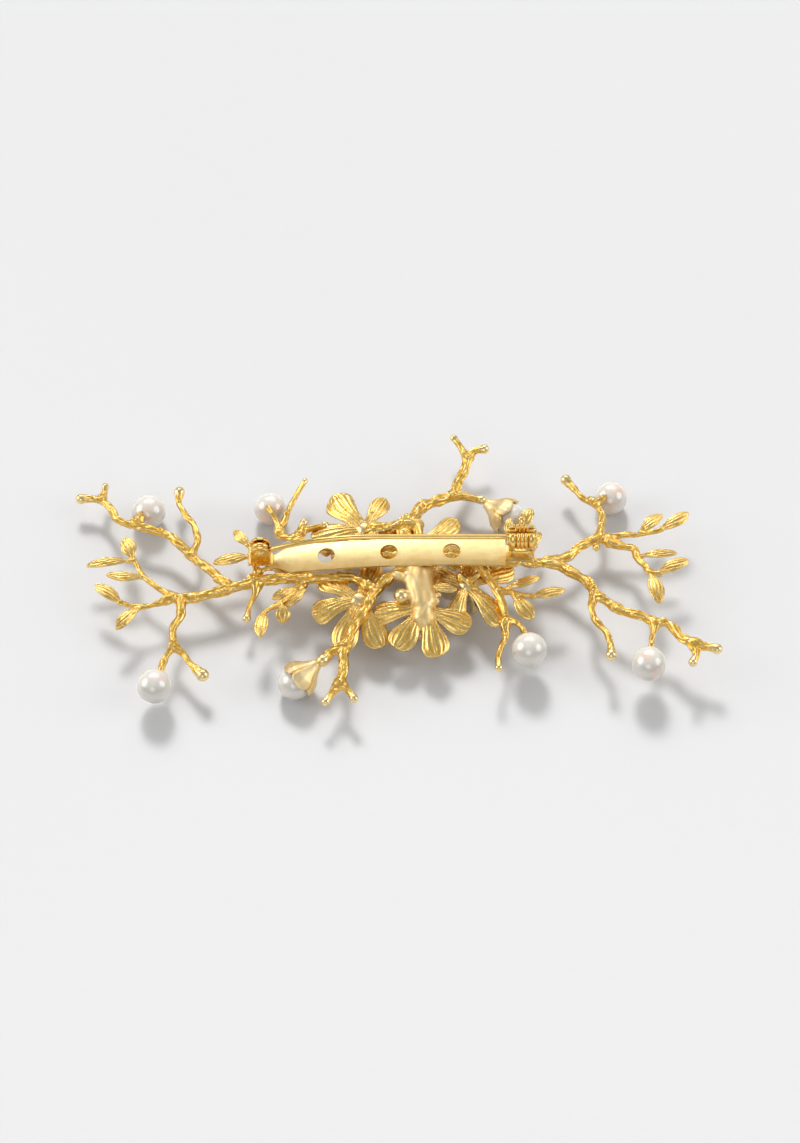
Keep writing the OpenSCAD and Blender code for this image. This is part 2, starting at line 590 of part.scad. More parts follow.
// A half-drilled pearl, hollowed where the end of its stub sits
module stub_pearl(pearl) {
    color(pearl_white)
        difference() {
            translate(pearl[0]) sphere(r = pearl[1], $fn = turned_fn);
            translate(pearl[2]) sphere(r = stub_r / cos(180 / cast_fn) + 2 * fit_gap, $fn = 32);
            drill(pearl);
        }
}

module bud_pearl(pearl) {
    color(pearl_white)
        difference() {
            translate(pearl[0]) sphere(r = pearl[1], $fn = turned_fn);
            drill(pearl);
        }
}

module drill(pearl) {
    along_z(pearl[2], pearl[0])
        cylinder(d = drill_d, h = peg_end(pearl) + drill_spare, $fn = turned_fn);
}

// The wire pegs, one for each pearl
module pearl_pegs() {
    peg_start = stub_r - stub_grip;
    color(deep_gold) {
        for (pearl = stub_pearls)
            along_z(pearl[2], pearl[0]) translate([0, 0, peg_start])
                cylinder(d = peg_d, h = peg_end(pearl) - peg_start, $fn = turned_fn);
        for (pearl = bud_pearls)
            along_z(pearl[2], pearl[0]) cylinder(d = peg_d, h = peg_end(pearl), $fn = turned_fn);
    }
}

// How far a pearl's peg reaches from the end of its stub or the bottom of its cup
function peg_end(pearl) = norm(pearl[0] - pearl[2]) - pearl[1] + peg_depth;

module pearl_left_upper() { stub_pearl(left_upper_pearl); }
module pearl_left_lower() { stub_pearl(left_lower_pearl); }
module pearl_upper_left() { stub_pearl(upper_left_pearl); }
module pearl_centre() { stub_pearl(centre_pearl); }
module pearl_right_upper() { stub_pearl(right_upper_pearl); }
module pearl_right_lower() { stub_pearl(right_lower_pearl); }
module pearl_lower_bud() { bud_pearl(lower_bud_pearl); }
module pearl_upper_bud() { bud_pearl(upper_bud_pearl); }

pin_bar();
hinge_rivet();
pin_stem();
catch_rings();
catch_sleeve();
hub_casting();
left_main_bough();
left_upper_bough();
left_upper_twig();
left_lower_bough();
left_far_spray();
hinge_leaf_twig();
lower_left_spray();
upper_left_sprig();
lower_bough();
upper_bough();
right_main_bough();
right_upper_twig();
right_leaf_spray();
right_tip_leaves();
right_lower_bough();
right_down_twig();
centre_twig();
centre_leaf_spray();
catch_leaves();
blossom_centre();
blossom_left();
blossom_upper_left();
blossom_right();
blossom_upper_right();
stamens_centre();
stamens_left();
stamens_upper_left();
stamens_right();
stamens_upper_right();
lower_bud_cup();
upper_bud_cup();
pearl_pegs();
pearl_left_upper();
pearl_left_lower();
pearl_upper_left();
pearl_centre();
pearl_right_upper();
pearl_right_lower();
pearl_lower_bud();
pearl_upper_bud();
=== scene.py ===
"""Looks of a blossom-branch brooch: bark-textured gold twigs, ridged leaves and petals, eight
pearls and a pin back. Shapes are worked out in millimetres and stored in metres."""
import json
import math

import bpy
import numpy as np
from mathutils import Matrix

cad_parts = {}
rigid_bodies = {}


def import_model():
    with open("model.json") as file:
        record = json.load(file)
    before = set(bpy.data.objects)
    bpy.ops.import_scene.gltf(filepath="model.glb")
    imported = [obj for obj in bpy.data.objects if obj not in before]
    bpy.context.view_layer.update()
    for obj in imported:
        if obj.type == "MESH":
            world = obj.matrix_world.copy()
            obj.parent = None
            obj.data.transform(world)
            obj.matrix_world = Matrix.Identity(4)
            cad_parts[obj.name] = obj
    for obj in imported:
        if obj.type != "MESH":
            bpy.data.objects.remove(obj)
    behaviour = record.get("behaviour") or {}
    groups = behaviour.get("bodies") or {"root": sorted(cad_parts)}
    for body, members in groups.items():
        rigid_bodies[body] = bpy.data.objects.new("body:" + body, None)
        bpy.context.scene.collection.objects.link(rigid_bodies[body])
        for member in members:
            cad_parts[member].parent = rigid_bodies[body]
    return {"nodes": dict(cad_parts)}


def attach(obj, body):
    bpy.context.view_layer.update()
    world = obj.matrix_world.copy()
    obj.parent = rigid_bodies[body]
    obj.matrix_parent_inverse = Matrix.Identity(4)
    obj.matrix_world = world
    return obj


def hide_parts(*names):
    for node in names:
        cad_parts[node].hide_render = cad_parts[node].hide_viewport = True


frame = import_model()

MM = 0.001
UP = np.array([0.0, 0.0, 1.0])
BODY = "brooch"
TAU = 2 * math.pi
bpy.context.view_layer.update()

# ---- layout, as in the CAD model

# Cast twigs: [radius at the start, radius at the end, radius of the end's ball, route]
BOUGHS = {
    "left_main_bough": [
        [0.95, 0.85, 0, [[-2.5, -4.5, 5.6], [-6, -2.5, 5.3], [-9, -2.5, 5.1], [-13, -2.4, 5.3],
         [-16, -2.5, 5], [-19, -2.5, 4.7], [-21, -3, 4.6], [-24, -4, 4.6], [-27, -5, 4.6],
         [-29.5, -5.5, 4.6], [-32, -5.5, 4.6]]],
        [0.5, 0.4, 0.65, [[-19.5, -3, 4.6], [-20, -5, 4.3], [-20.5, -6, 4.1], [-21, -8.5, 3.9]]]],
    "left_upper_bough": [
        [0.75, 0.6, 0.8, [[-24, -3, 4.4], [-25.5, -1.5, 4.2], [-27.5, 0.5, 4.1], [-29, 1.5, 4.1],
         [-30.5, 3.5, 4.1], [-33, 5.5, 4.2], [-35.5, 6.5, 4.3], [-37.5, 7, 4.4], [-39, 7.5, 4.3],
         [-40.5, 8.5, 4.1], [-41.5, 10.5, 3.8], [-43, 12, 3.5], [-44.5, 12.5, 3.3], [-46, 12.5, 3.2]]],
        [0.5, 0.4, 0.6, [[-43, 12, 3.5], [-42.5, 13.5, 3.4], [-42.5, 14.5, 3.4]]],
        [0.5, 0.4, 0, [[-37.5, 7.5, 4.4], [-37, 8.5, 4.6], [-37, 9, 4.6]]]],
    "left_upper_twig": [
        [0.6, 0.45, 0.85, [[-29.5, 2, 4.1], [-28.5, 4.5, 4], [-29, 7, 3.9], [-30.5, 9.5, 3.7],
         [-31.5, 11.5, 3.6], [-31.5, 13.5, 3.5]]]],
    "left_lower_bough": [
        [0.75, 0.5, 0, [[-30.5, -5.5, 4.6], [-30.5, -8.5, 4.5], [-31.5, -10.5, 4.4], [-31.5, -13, 4.3],
         [-32.5, -15.5, 4.1], [-33, -17.2, 4]]],
        [0.55, 0.5, 0.95, [[-31.5, -13, 4.3], [-30, -14.5, 4.2], [-28.5, -16.5, 4.1], [-27, -18, 4.1]]]],
    "upper_left_sprig": [
        [0.7, 0.4, 0.45, [[-9.5, 2, 5.6], [-12, 3.5, 5.2], [-14.5, 4.5, 4.8], [-16.5, 5.5, 4.5],
         [-16, 7.5, 4.5], [-15, 10.5, 4.4], [-14, 13, 4.3], [-13, 15, 4.2]]],
        [0.5, 0.4, 0, [[-16.5, 5.5, 4.5], [-17, 7.5, 4.7], [-17.8, 9, 5], [-18.5, 10, 4.7]]],
        [0.55, 0.5, 0.65, [[-14.5, 4.5, 4.7], [-13, 6, 4.7], [-11.5, 6.5, 4.7], [-10, 7, 4.6]]],
        [0.5, 0.45, 0.6, [[-13.5, 5.5, 4.7], [-13, 7.5, 4.5]]]],
    "lower_bough": [
        [1, 0.8, 0, [[1.5, -2, 6.6], [-0.5, -3, 6.3], [-2.5, -5, 5.9], [-4, -8, 5.6], [-5.5, -10.5, 5.3],
         [-6.5, -13, 5.1], [-7, -15, 5], [-7, -17.5, 4.8], [-7.5, -20, 4.6]]],
        [0.6, 0.5, 0.65, [[-7.5, -19.5, 4.6], [-8.5, -21, 4.5], [-9.5, -22.5, 4.4]]],
        [0.6, 0.5, 0.65, [[-7.5, -19.5, 4.6], [-6.5, -20.5, 4.5], [-5.5, -22, 4.4]]],
        [0.7, 0.55, 0.95, [[-6.5, -13.5, 5.1], [-8.5, -14.5, 4.9], [-10, -16, 4.8]]]],
    "upper_bough": [
        [1.1, 0.75, 0, [[1.5, 4.5, 6], [2.5, 7, 5.2], [4, 10, 4.4], [6, 11.5, 3.9], [8, 12.5, 3.5],
         [9, 13, 3.5], [9.5, 15, 3.7], [10.5, 17, 4], [11, 19, 4.2]]],
        [0.55, 0.45, 0.6, [[11, 19, 4.2], [10, 21, 4.3], [9, 22.5, 4.4]]],
        [0.55, 0.5, 0.75, [[11, 19, 4.2], [12, 20, 4.4], [13.5, 20.5, 4.5]]],
        [0.7, 0.6, 0.75, [[8.5, 13, 3.5], [11, 12.5, 3.6], [13, 12, 3.7]]]],
    "right_main_bough": [
        [0.95, 0.7, 0, [[14.5, -1, 6.8], [17, 0, 5.9], [19, 0.5, 5.1], [21.5, 0.5, 4.6], [23, 1, 4.3],
         [25.5, 2, 4.1], [27, 3.5, 4], [28.5, 4.5, 4], [30, 5, 4], [31.5, 4.5, 4]]],
        [0.7, 0.5, 0, [[31.5, 4.5, 4], [33.5, 3.5, 4.3], [35, 3, 4.5], [35.5, 1, 4.9], [36.5, -0.5, 5.2],
         [37, -1.5, 5.4], [38.5, -2, 5.6]]]],
    "right_upper_twig": [
        [0.65, 0.5, 0.85, [[30, 5, 4], [30.5, 7.5, 4.1], [30.5, 9.5, 4.2], [29.5, 11, 4.2], [28, 12, 4.1],
         [26.5, 14, 3.9], [25.5, 15.5, 3.7]]],
        [0.5, 0.4, 0, [[29.5, 11, 4.2], [30.5, 11.5, 4.6], [31, 12, 4.6]]]],
    "right_lower_bough": [
        [0.85, 0.75, 0, [[22, 0.5, 4.6], [24, 0, 4.7], [26, -1.5, 4.9], [28, -3, 5.1], [29, -5, 5.3],
         [30.5, -6.5, 5.5], [32.5, -8, 5.6], [34.5, -9, 5.8], [36, -9.5, 5.9], [37.5, -10.5, 6],
         [39, -10.5, 6.1], [40, -11.5, 6.1], [41, -13, 6.2], [42.5, -14, 6.3]]],
        [0.75, 0.65, 0.8, [[42.5, -14, 6.3], [44, -14.5, 6.3], [46, -15, 6.3]]],
        [0.55, 0.5, 0.7, [[42.5, -14, 6.3], [43, -16, 6.2], [42.5, -17, 6.1]]],
        [0.5, 0.4, 0, [[37.5, -10.5, 6], [37, -12.5, 5.7], [36.7, -14.2, 5.4]]]],
    "right_down_twig": [
        [0.6, 0.5, 0.85, [[29, -5, 5.3], [28.5, -8, 5.4], [29.5, -10.5, 5.4], [30.5, -12, 5.5],
         [31, -14, 5.5], [31, -15.5, 5.5]]]],
    "centre_twig": [
        [0.8, 0.6, 0, [[12, -0.5, 7], [14, -3.5, 6.2], [15.5, -6.5, 5.8], [16, -8.5, 5.7], [16, -10.5, 5.6]]],
        [0.55, 0.45, 0.6, [[16, -10, 5.6], [16, -12.5, 5.5], [15, -15.5, 5.4], [15, -17.5, 5.3]]],
        [0.5, 0.4, 0, [[16, -10, 5.6], [17.5, -10, 5.5], [18.5, -11, 5.4], [18.8, -11.8, 5.3]]]],
}
# Sprays: the twigs, then the leaves on them as [base, tip, width]
SPRAYS = {
    "left_far_spray": ([
        [0.55, 0.4, 0, [[-31.5, -5.5, 4.6], [-34, -3.5, 4.5], [-35.5, -2.5, 4.5], [-36.5, -1, 4.4],
         [-37.5, 1, 4.4]]],
        [0.5, 0.4, 0, [[-32, -5.5, 4.6], [-34, -6.5, 4.6], [-36.5, -7, 4.7], [-39, -6.5, 4.8]]]], [
        [[-37.8, 1.3, 4.4], [-39, 5, 4.4], 2.4], [[-38.4, 0.9, 4.5], [-44.5, 0, 4.5], 1.5],
        [[-36.2, -1.9, 4.5], [-41.5, -1.6, 4.7], 1.6], [[-39.1, -6.5, 4.8], [-43, -3.6, 5], 2],
        [[-36.4, -7.2, 4.8], [-39.6, -11, 5], 1.9]]),
    "hinge_leaf_twig": ([
        [0.5, 0.35, 0, [[-20.5, -2.5, 4.7], [-19, -1, 4.8], [-18, -0.5, 4.8]]],
        [0.45, 0.35, 0, [[-19.5, -1.5, 4.7], [-20, 0, 4.7], [-20.5, 1.5, 4.7]]],
        [0.4, 0.3, 0, [[-20, 0.5, 4.7], [-20.5, 2, 4.7], [-21, 3.5, 4.6]]]], [
        [[-20.8, 1.5, 4.7], [-26.1, 0.4, 4.7], 1.8], [[-20.9, 3.5, 4.6], [-23.2, 6.3, 4.2], 1.7],
        [[-17.8, -0.4, 4.8], [-14.4, -2, 4], 1.3]]),
    "lower_left_spray": ([
        [0.5, 0.4, 0, [[-13, -3, 4.8], [-14.5, -5, 4.9], [-16, -6.5, 5.2], [-18.5, -8.5, 5.6]]]], [
        [[-16.1, -6.8, 5.2], [-15.8, -9.7, 4.4], 2.2], [[-18.4, -8.4, 5.6], [-18.9, -13, 6.2], 2.1],
        [[-14.2, -4, 5], [-17.4, -5.9, 5], 1.5], [[-12.6, -4.3, 5], [-15.8, -6.9, 4.4], 1.5]]),
    "right_leaf_spray": ([
        [0.5, 0.4, 0, [[31, 5, 4], [33.5, 5.5, 4.2], [35.5, 5.5, 4.5], [37, 5.5, 4.7], [39, 6, 4.9]]]], [
        [[36, 5.7, 4.5], [39.4, 8.8, 4.6], 1.9], [[39.1, 6.1, 4.9], [43.2, 8.8, 5.1], 2], [[36, 1.5, 4.9],
        [41.2, 1.7, 5.3], 1.4]]),
    "centre_leaf_spray": ([
        [0.45, 0.35, 0, [[15, -5, 5.9], [17.5, -5.5, 5.9], [20, -6, 5.9]]]], [
        [[16.4, -4.6, 5.9], [21.2, -2.7, 5.9], 1.5], [[20, -6, 5.9], [24.7, -5, 6.1], 1.8], [[17.4, -6, 5.9],
        [20, -9.7, 5.6], 2.6]]),
    "catch_leaves": ([
        [0.5, 0.35, 0, [[18.5, 0.5, 5.1], [18.5, 3.5, 4.9], [18.7, 6.1, 5]]],
        [0.4, 0.3, 0, [[18.5, 2, 4.9], [17.3, 3.2, 5.4], [17, 4, 5.6]]],
        [0.4, 0.3, 0, [[18.5, 1.5, 4.8], [20, 2.5, 4.4], [20.6, 3.5, 4.2]]]], [
        [[18.7, 6.1, 5], [20.3, 9.2, 5.6], 2], [[17, 4, 5.6], [17, 7.2, 6.2], 1.5], [[20.6, 3.5, 4.2],
        [21.5, 6.2, 3.9], 1.2]]),
}
RIGHT_TIP_LEAVES = [[[38.3, -1.8, 5.6], [42.7, 0.1, 6], 2], [[37.1, -2, 5.5], [38.3, -7, 5.6], 2.3]]
HUB_SPINE = [
    [1, 1, 0, [[-8, 0.8, 5.8], [-4, 0.8, 6.3], [0, 0.6, 6.6], [3.5, 0.4, 6.8], [8, 0.2, 6.85],
     [12.5, 0, 6.8]]],
    [1.2, 1.4, 0, [[3.3, 0, 6.8], [3.7, -3, 6.8], [4, -6, 6.6], [4.3, -8, 6.2]]],
    [1.2, 1.1, 0, [[-3, 5.5, 5.4], [0, 6, 5.6], [3.5, 6.5, 5.4]]],
    [0.9, 0.9, 0, [[-3, 5.5, 5.4], [-2.5, 1, 6.2]]],
    [0.9, 0.9, 0, [[3.5, 6.5, 5.4], [4, 1, 6.4]]]]
HUB_KNOBS = [[1.2, -6.5, 6.8, 1.1], [1.8, -3.2, 7.1, 0.7], [6.2, -7.2, 6.5, 0.55], [6.6, -6, 6.3, 0.45]]
# Blossoms: [middle, [[a petal's outer end, its width], ...]]
BLOSSOMS = {
    "centre": [[4.3, -8, 5.9], [[[0.2, -13.7, 4.5], 4.2], [[6.4, -15.2, 4.5], 4.2], [[11.2, -10.1, 4.7], 4],
        [[-2.7, -8.3, 4.8], 3.8], [[6.5, -1.4, 4.8], 3.8]]],
    "left": [[-4.9, -6.1, 5.2], [[[-11.6, -8.2, 4.4], 4], [[-7.4, -13.6, 3.9], 4], [[-1.5, -13.2, 3.8], 4],
        [[-10.5, -1.5, 4.2], 3.8], [[-2.5, 0.5, 4.2], 3.8]]],
    "upper_left": [[-4.2, 6.1, 4.9], [[[-8.8, 12.4, 4.2], 4.6], [[-1.2, 11.6, 4.6], 3], [[-12, 5, 4.2], 4.2],
        [[-7.5, -0.2, 4.2], 3.8], [[1.8, 3.4, 4], 3.8]]],
    "right": [[10.6, -3.7, 5.4], [[[8.2, -9.8, 4.5], 3.2], [[15.7, -9.7, 4.4], 3.8],
        [[17.4, -0.4, 4.4], 3.8], [[11.6, 3.2, 4.2], 3.8], [[4.5, -0.6, 4], 3.8]]],
    "upper_right": [[4.2, 3.4, 5], [[[9.4, 8.1, 4.2], 3.4], [[1.8, 9.4, 3.8], 3.4], [[-2.6, 4, 3.6], 3.8],
        [[2.4, -2.8, 3.6], 3.8], [[10.4, 1.2, 3.6], 3.8]]],
}
# Pearls: [centre, radius, end of the stub or bottom of the cup that holds it]
PEARLS = {
    "left_upper": [[-36, 10.6, 2.55], 2.55, [-37, 9, 4.6]],
    "left_lower": [[-33.8, -19.8, 4.1], 2.5, [-33, -17.2, 4]],
    "upper_left": [[-18.1, 11.2, 2.5], 2.4, [-18.5, 10, 4.7]],
    "centre": [[19.4, -14.3, 4.9], 2.55, [18.8, -11.8, 5.3]],
    "right_upper": [[32.1, 13.1, 2.5], 2.45, [31, 12, 4.6]],
    "right_lower": [[36.3, -16.8, 5.3], 2.5, [36.7, -14.2, 5.4]],
    "lower_bud": [[-14, -18.4, 2.45], 2.4, [-10.6, -16.2, 4.6]],
    "upper_bud": [[17.2, 9.2, 3], 2.4, [13.5, 11.6, 3.7]],
}
CUPPED = ("lower_bud", "upper_bud")
PEARL_STUBS = {tuple(held) for name, (_, _, held) in PEARLS.items() if name not in CUPPED}

# Knobs left where twigs were cut: [x, y, z, radius]
KNOBS = {
    "left_upper_bough": [[-25.5, -2.3, 4.4, 0.62], [-34, 6.2, 4.6, 0.5]],
    "left_lower_bough": [[-31.2, -13.6, 4.6, 0.55]],
    "upper_left_sprig": [[-13, 7.5, 4.6, 0.6], [-15.6, 9, 4.8, 0.5]],
    "lower_bough": [[-6.9, -13.4, 5.2, 0.75], [-7.6, -19.6, 4.8, 0.6]],
    "upper_bough": [[3, 8.2, 5, 0.8], [9, 13.2, 3.7, 0.7]],
    "right_main_bough": [[29.6, 3.5, 4, 0.62], [31.3, 5, 4.1, 0.75]],
    "right_upper_twig": [[29, 11.5, 4.7, 0.55]],
    "right_lower_bough": [[28.8, -4.4, 5.6, 0.8], [38.6, -10.4, 6.3, 0.65], [42.6, -14.2, 6.4, 0.75]],
    "centre_twig": [[15.9, -10.3, 5.9, 0.7]],
}

# ---- vectors and routes

def vec(values):
    return np.array(values, float)


def unit(v):
    return v / np.maximum(np.linalg.norm(v, axis=-1, keepdims=True), 1e-9)


def smoothstep(low, high, x):
    t = np.clip((x - low) / (high - low), 0, 1)
    return t * t * (3 - 2 * t)


def circle(count):
    """Angles spaced evenly round a full turn."""
    return np.linspace(0, TAU, count, endpoint=False)


def around(centre, axes, reach, rise, phi):
    """Rings of points round a line: reach is the distance from it, rise the place along it."""
    side, above, forward = axes
    return (vec(centre) + (reach * np.cos(phi))[..., None] * side
            + (reach * np.sin(phi))[..., None] * above
            + (rise * np.ones_like(phi))[..., None] * forward)


def rows(x, y, z):
    """Rows of X, Y and Z; a single number stands for a whole column."""
    return np.stack(np.broadcast_arrays(x, y, z), axis=-1)


def wire(spine, radius, normal, binormal, count):
    """Rings of the given radii round a middle line."""
    phi = circle(count)[None, :, None]
    return spine[:, None] + radius[:, None, None] * (np.cos(phi) * normal[:, None]
                                                     + np.sin(phi) * binormal[:, None])


def smooth_route(points, step):
    """A smooth curve through the points, sampled evenly."""
    p = vec(points)
    ends = np.vstack([2 * p[0] - p[1], p, 2 * p[-1] - p[-2]])
    heading = unit(ends[2:] - ends[:-2])
    pieces = []
    for a, b, m0, m1 in zip(p[:-1], p[1:], heading[:-1], heading[1:]):
        span = np.linalg.norm(b - a)
        t = np.linspace(0, 1, max(3, int(span / step) * 2))[:-1, None]
        pieces.append((2 * t**3 - 3 * t**2 + 1) * a + (t**3 - 2 * t**2 + t) * span * m0
                      + (3 * t**2 - 2 * t**3) * b + (t**3 - t**2) * span * m1)
    dense = np.vstack(pieces + [p[-1:]])
    return resample(dense, step)


def arc_lengths(path):
    return np.concatenate([[0], np.cumsum(np.linalg.norm(np.diff(path, axis=0), axis=1))])


def resample(path, step):
    along = arc_lengths(path)
    places = np.linspace(0, along[-1], max(3, int(round(along[-1] / step)) + 1))
    return points_at(path, along, places)


def points_at(path, along, places):
    """Points at the given lengths along a path, which goes on straight past both ends."""
    inside = np.clip(places, 0, along[-1])
    out = np.stack([np.interp(inside, along, path[:, k]) for k in range(3)], axis=1)
    start, end = unit(path[0] - path[1]), unit(path[-1] - path[-2])
    out += np.outer(np.maximum(-places, 0), start) + np.outer(np.maximum(places - along[-1], 0), end)
    return out


def frames_along(path):
    """The tangent and two normals at each point, carried along without twist."""
    tangent = unit(np.gradient(path, axis=0))
    side = np.cross(UP, tangent[0])
    if np.linalg.norm(side) < 0.2:
        side = np.array([1.0, 0, 0])
    normals = []
    for t in tangent:
        side = unit(side - t * np.dot(side, t))
        normals.append(side)
    normal = np.array(normals)
    return tangent, normal, np.cross(tangent, normal)


def sway(s, rng, amount, shortest, longest):
    """A slow random wave along a length: the sum of three sines."""
    total = np.zeros_like(s)
    for _ in range(3):
        wave = rng.uniform(shortest, longest)
        total += np.sin(TAU * s / wave + rng.uniform(0, TAU))
    return total * amount / 3


# ---- meshes

def new_object(name, data):
    """A new object, linked into the scene."""
    obj = bpy.data.objects.new(name, data)
    bpy.context.scene.collection.objects.link(obj)
    return obj


def set_relief(mesh, relief):
    layer = mesh.attributes.get("relief") or mesh.attributes.new("relief", "FLOAT", "POINT")
    layer.data.foreach_set("value", relief.astype(np.float32))


class Shell:
    """The mesh of one piece in millimetres, with a relief value: 0 in a groove, 1 on a ridge; the gold
    finishes paint shade where it is low and highlight where it is high.
    """

    def __init__(self):
        self.verts, self.quads, self.tris, self.relief, self.count = [], [], [], [], 0

    def loft(self, rings, relief=None):
        """Closed rings of points, joined in order, with a fan on each end."""
        n, m = rings.shape[:2]
        relief = np.ones((n, m)) if relief is None else relief
        i, j = np.arange(n - 1)[:, None] * m, np.arange(m)[None, :]
        k = (j + 1) % m
        quads = np.stack([i + j, i + k, i + m + k, i + m + j], axis=-1).reshape(-1, 4)
        first, last = n * m, n * m + 1
        j, k = j[0], k[0]
        top = (n - 1) * m
        tris = np.concatenate([np.stack([np.full(m, first), k, j], axis=1),
                               np.stack([np.full(m, last), top + j, top + k], axis=1)])
        self.verts.append(np.vstack([rings.reshape(-1, 3), rings[0].mean(0), rings[-1].mean(0)]))
        self.quads.append(quads + self.count)
        self.tris.append(tris + self.count)
        self.relief.append(np.concatenate([relief.ravel(), [relief[0].mean(), relief[-1].mean()]]))
        self.count += last + 1

    def mesh(self, name, scale=MM):
        faces = np.vstack(self.quads).tolist() + np.vstack(self.tris).tolist()
        mesh = bpy.data.meshes.new(name)
        mesh.from_pydata((np.vstack(self.verts) * scale).tolist(), [], faces)
        set_relief(mesh, np.concatenate(self.relief))
        mesh.shade_smooth()
        return mesh

    def place(self, name, finish, nodes, body=BODY):
        place(self.mesh(name), name, finish, nodes, body)


def place(mesh, name, finish, nodes, body=BODY):
    """Makes the piece, gives it its finish and the body it rides on, and hides what it replaces."""
    piece = new_object(name, mesh)
    mesh.materials.clear()
    mesh.materials.append(MATERIALS[finish])
    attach(piece, body)
    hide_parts(*nodes)


# ---- twigs

ROUTE_STEP = 0.22
TWIG_POINTS = 20
VOXEL = 0.12
BARK_SMOOTHING = 5
BARK_DEPTH = 0.33
BARK_BLEND = 0.12
WOBBLE = 0.12
SWELL = 0.18
# A thin twig's flare at its foot: its share of the radius, and its length
FLARE, FLARE_LEN = 0.9, 1.3
# Collars under a pearl: [share of the radius, distance from the end, width]
COLLARS = [[0.3, 0.5, 0.22], [0.25, 1.5, 0.3]]


def bark(s, phi, seed):
    """Cast bark from 0 to 1: wavy lengthwise ridges with sharp narrow grooves between them."""
    rng = np.random.default_rng(seed)

    def ridges(count, amount):
        return np.abs(np.sin(count / 2 * phi + sway(s, rng, amount, 3, 9)))
    wide, fine = ridges(5, 1.8), ridges(8, 2.6)
    breaks = 0.5 + 0.5 * np.sin(TAU * s / 1.9 + 2 * phi + sway(s, rng, 3, 2, 5))
    return np.clip(0.5 * wide + 0.3 * fine + 0.2 * breaks, 0, 1)


class Twig:
    """The middle line of one twig with its thickness: it tapers, swells and ends in a ball or tip."""

    def __init__(self, run, seed, rough=1.0):
        start_r, end_r, ball_r, points = run
        rng = np.random.default_rng(seed)
        self.seed = seed
        path = smooth_route(points, ROUTE_STEP)
        wobble = np.stack([sway(arc_lengths(path), rng, WOBBLE, 2.5, 6) for _ in range(3)], axis=1)
        path = path + wobble * rough * np.sin(np.linspace(0, math.pi, len(path)))[:, None]
        along = arc_lengths(path)
        length = along[-1]
        head = ball_r if ball_r else end_r
        cap = np.sin(np.linspace(-1.25, 1.5, 14 if ball_r else 9)) * head
        cap = cap if ball_r else cap[cap > 0]
        s = np.concatenate([-start_r * np.cos(np.linspace(0.15, 1.4, 5)),
                            np.arange(0, length + cap[0] - 0.05, ROUTE_STEP), length + cap])
        stem = np.interp(s, [0, length], [start_r, end_r])
        if rough:
            flare = FLARE * np.clip((0.9 - start_r) / 0.4, 0, 1)
            stem = stem * (1 + sway(s, rng, SWELL, 1.5, 6)
                           + flare * np.exp(-(np.maximum(s, 0) / FLARE_LEN)**2))
        if tuple(points[-1]) in PEARL_STUBS:
            collars = 1
            for share, back, width in COLLARS:
                collars = collars + share * np.exp(-((s - length + back) / width)**2)
            stem = stem * collars
        stem = stem * np.where(s < 0, np.sqrt(np.clip(1 - (s / start_r)**2, 0, 1)), 1)
        dome = np.sqrt(np.clip(1 - ((s - length) / head)**2, 0, 1)) * head
        neck = smoothstep(length - 2.6 * head, length - 0.4 * head, s)
        if ball_r:
            stem = stem * (1 - neck) + np.maximum(stem, head * 0.86) * neck
        self.radius = np.where(s > length, dome, np.maximum(stem, dome) if ball_r else stem)
        self.calm = smoothstep(length - 1.5 * head, length - 0.3 * head, s) * (1 if ball_r else 0.3)
        self.s = s
        self.spine = points_at(path, along, s)
        self.tangent, self.normal, self.binormal = frames_along(self.spine)

    def loft(self, shell, count=TWIG_POINTS):
        shell.loft(wire(self.spine, self.radius, self.normal, self.binormal, count))

    def bark_at(self, points):
        """Relief, groove depth and distance from this twig's skin at each of the points."""
        gaps = (points**2).sum(1)[:, None] + (self.spine**2).sum(1)[None] - 2 * points @ self.spine.T
        near = gaps.argmin(1)
        offset = points - self.spine[near]
        phi = np.arctan2((offset * self.binormal[near]).sum(1), (offset * self.normal[near]).sum(1))
        s = self.s[near] + (offset * self.tangent[near]).sum(1)
        calm = self.calm[near]
        relief = bark(s, phi, self.seed) * (1 - calm) + calm
        depth = BARK_DEPTH * np.minimum(self.radius[near], 0.9)
        return relief, depth, np.linalg.norm(offset, axis=1) - self.radius[near]


def melted(shell, name, smoothing):
    """The shell's overlapping bodies run together into one smooth skin, in millimetres."""
    source = new_object(name + "_source", shell.mesh(name + "_source", scale=1))
    remesh = source.modifiers.new("melt", "REMESH")
    remesh.mode = "VOXEL"
    remesh.voxel_size = VOXEL
    soften = source.modifiers.new("soften", "SMOOTH")
    soften.factor = 0.5
    soften.iterations = smoothing
    return skin_of(source)


def skin_of(source):
    """The object's mesh with its modifiers applied; the object itself goes."""
    bpy.context.view_layer.update()
    mesh = bpy.data.meshes.new_from_object(source.evaluated_get(bpy.context.evaluated_depsgraph_get()))
    bpy.data.objects.remove(source, do_unlink=True)
    return mesh


def vertex_values(mesh, field):
    values = np.empty(len(mesh.vertices) * 3)
    mesh.vertices.foreach_get(field, values)
    return values.reshape(-1, 3)


def carve(skin, co, normal, height, relief):
    """Moves the skin's points out by the height, and turns it from millimetres to metres."""
    skin.vertices.foreach_set("co", ((co + normal * height[:, None]) * MM).ravel())
    set_relief(skin, relief)
    skin.shade_smooth()


def cast_skin(shell, stems, name):
    """Melts the shell, then cuts each stem's bark into it; where stems meet, their bark blends."""
    skin = melted(shell, name, BARK_SMOOTHING)
    co, normal = vertex_values(skin, "co"), vertex_values(skin, "normal")
    weights, relief, depth = np.full(len(co), 1e-9), np.zeros(len(co)), np.zeros(len(co))
    for stem in stems:
        own, deep, gap = stem.bark_at(co)
        weight = np.exp(-np.clip(gap, -0.5, 2) / BARK_BLEND)
        weights += weight
        relief += weight * own
        depth += weight * deep
    relief, depth = relief / weights, depth / weights
    # The relief cuts the grooves and also drives the painted shade in them and the painted highlight on the
    # ridges.
    carve(skin, co, normal, -depth * (1 - relief), relief)
    return skin


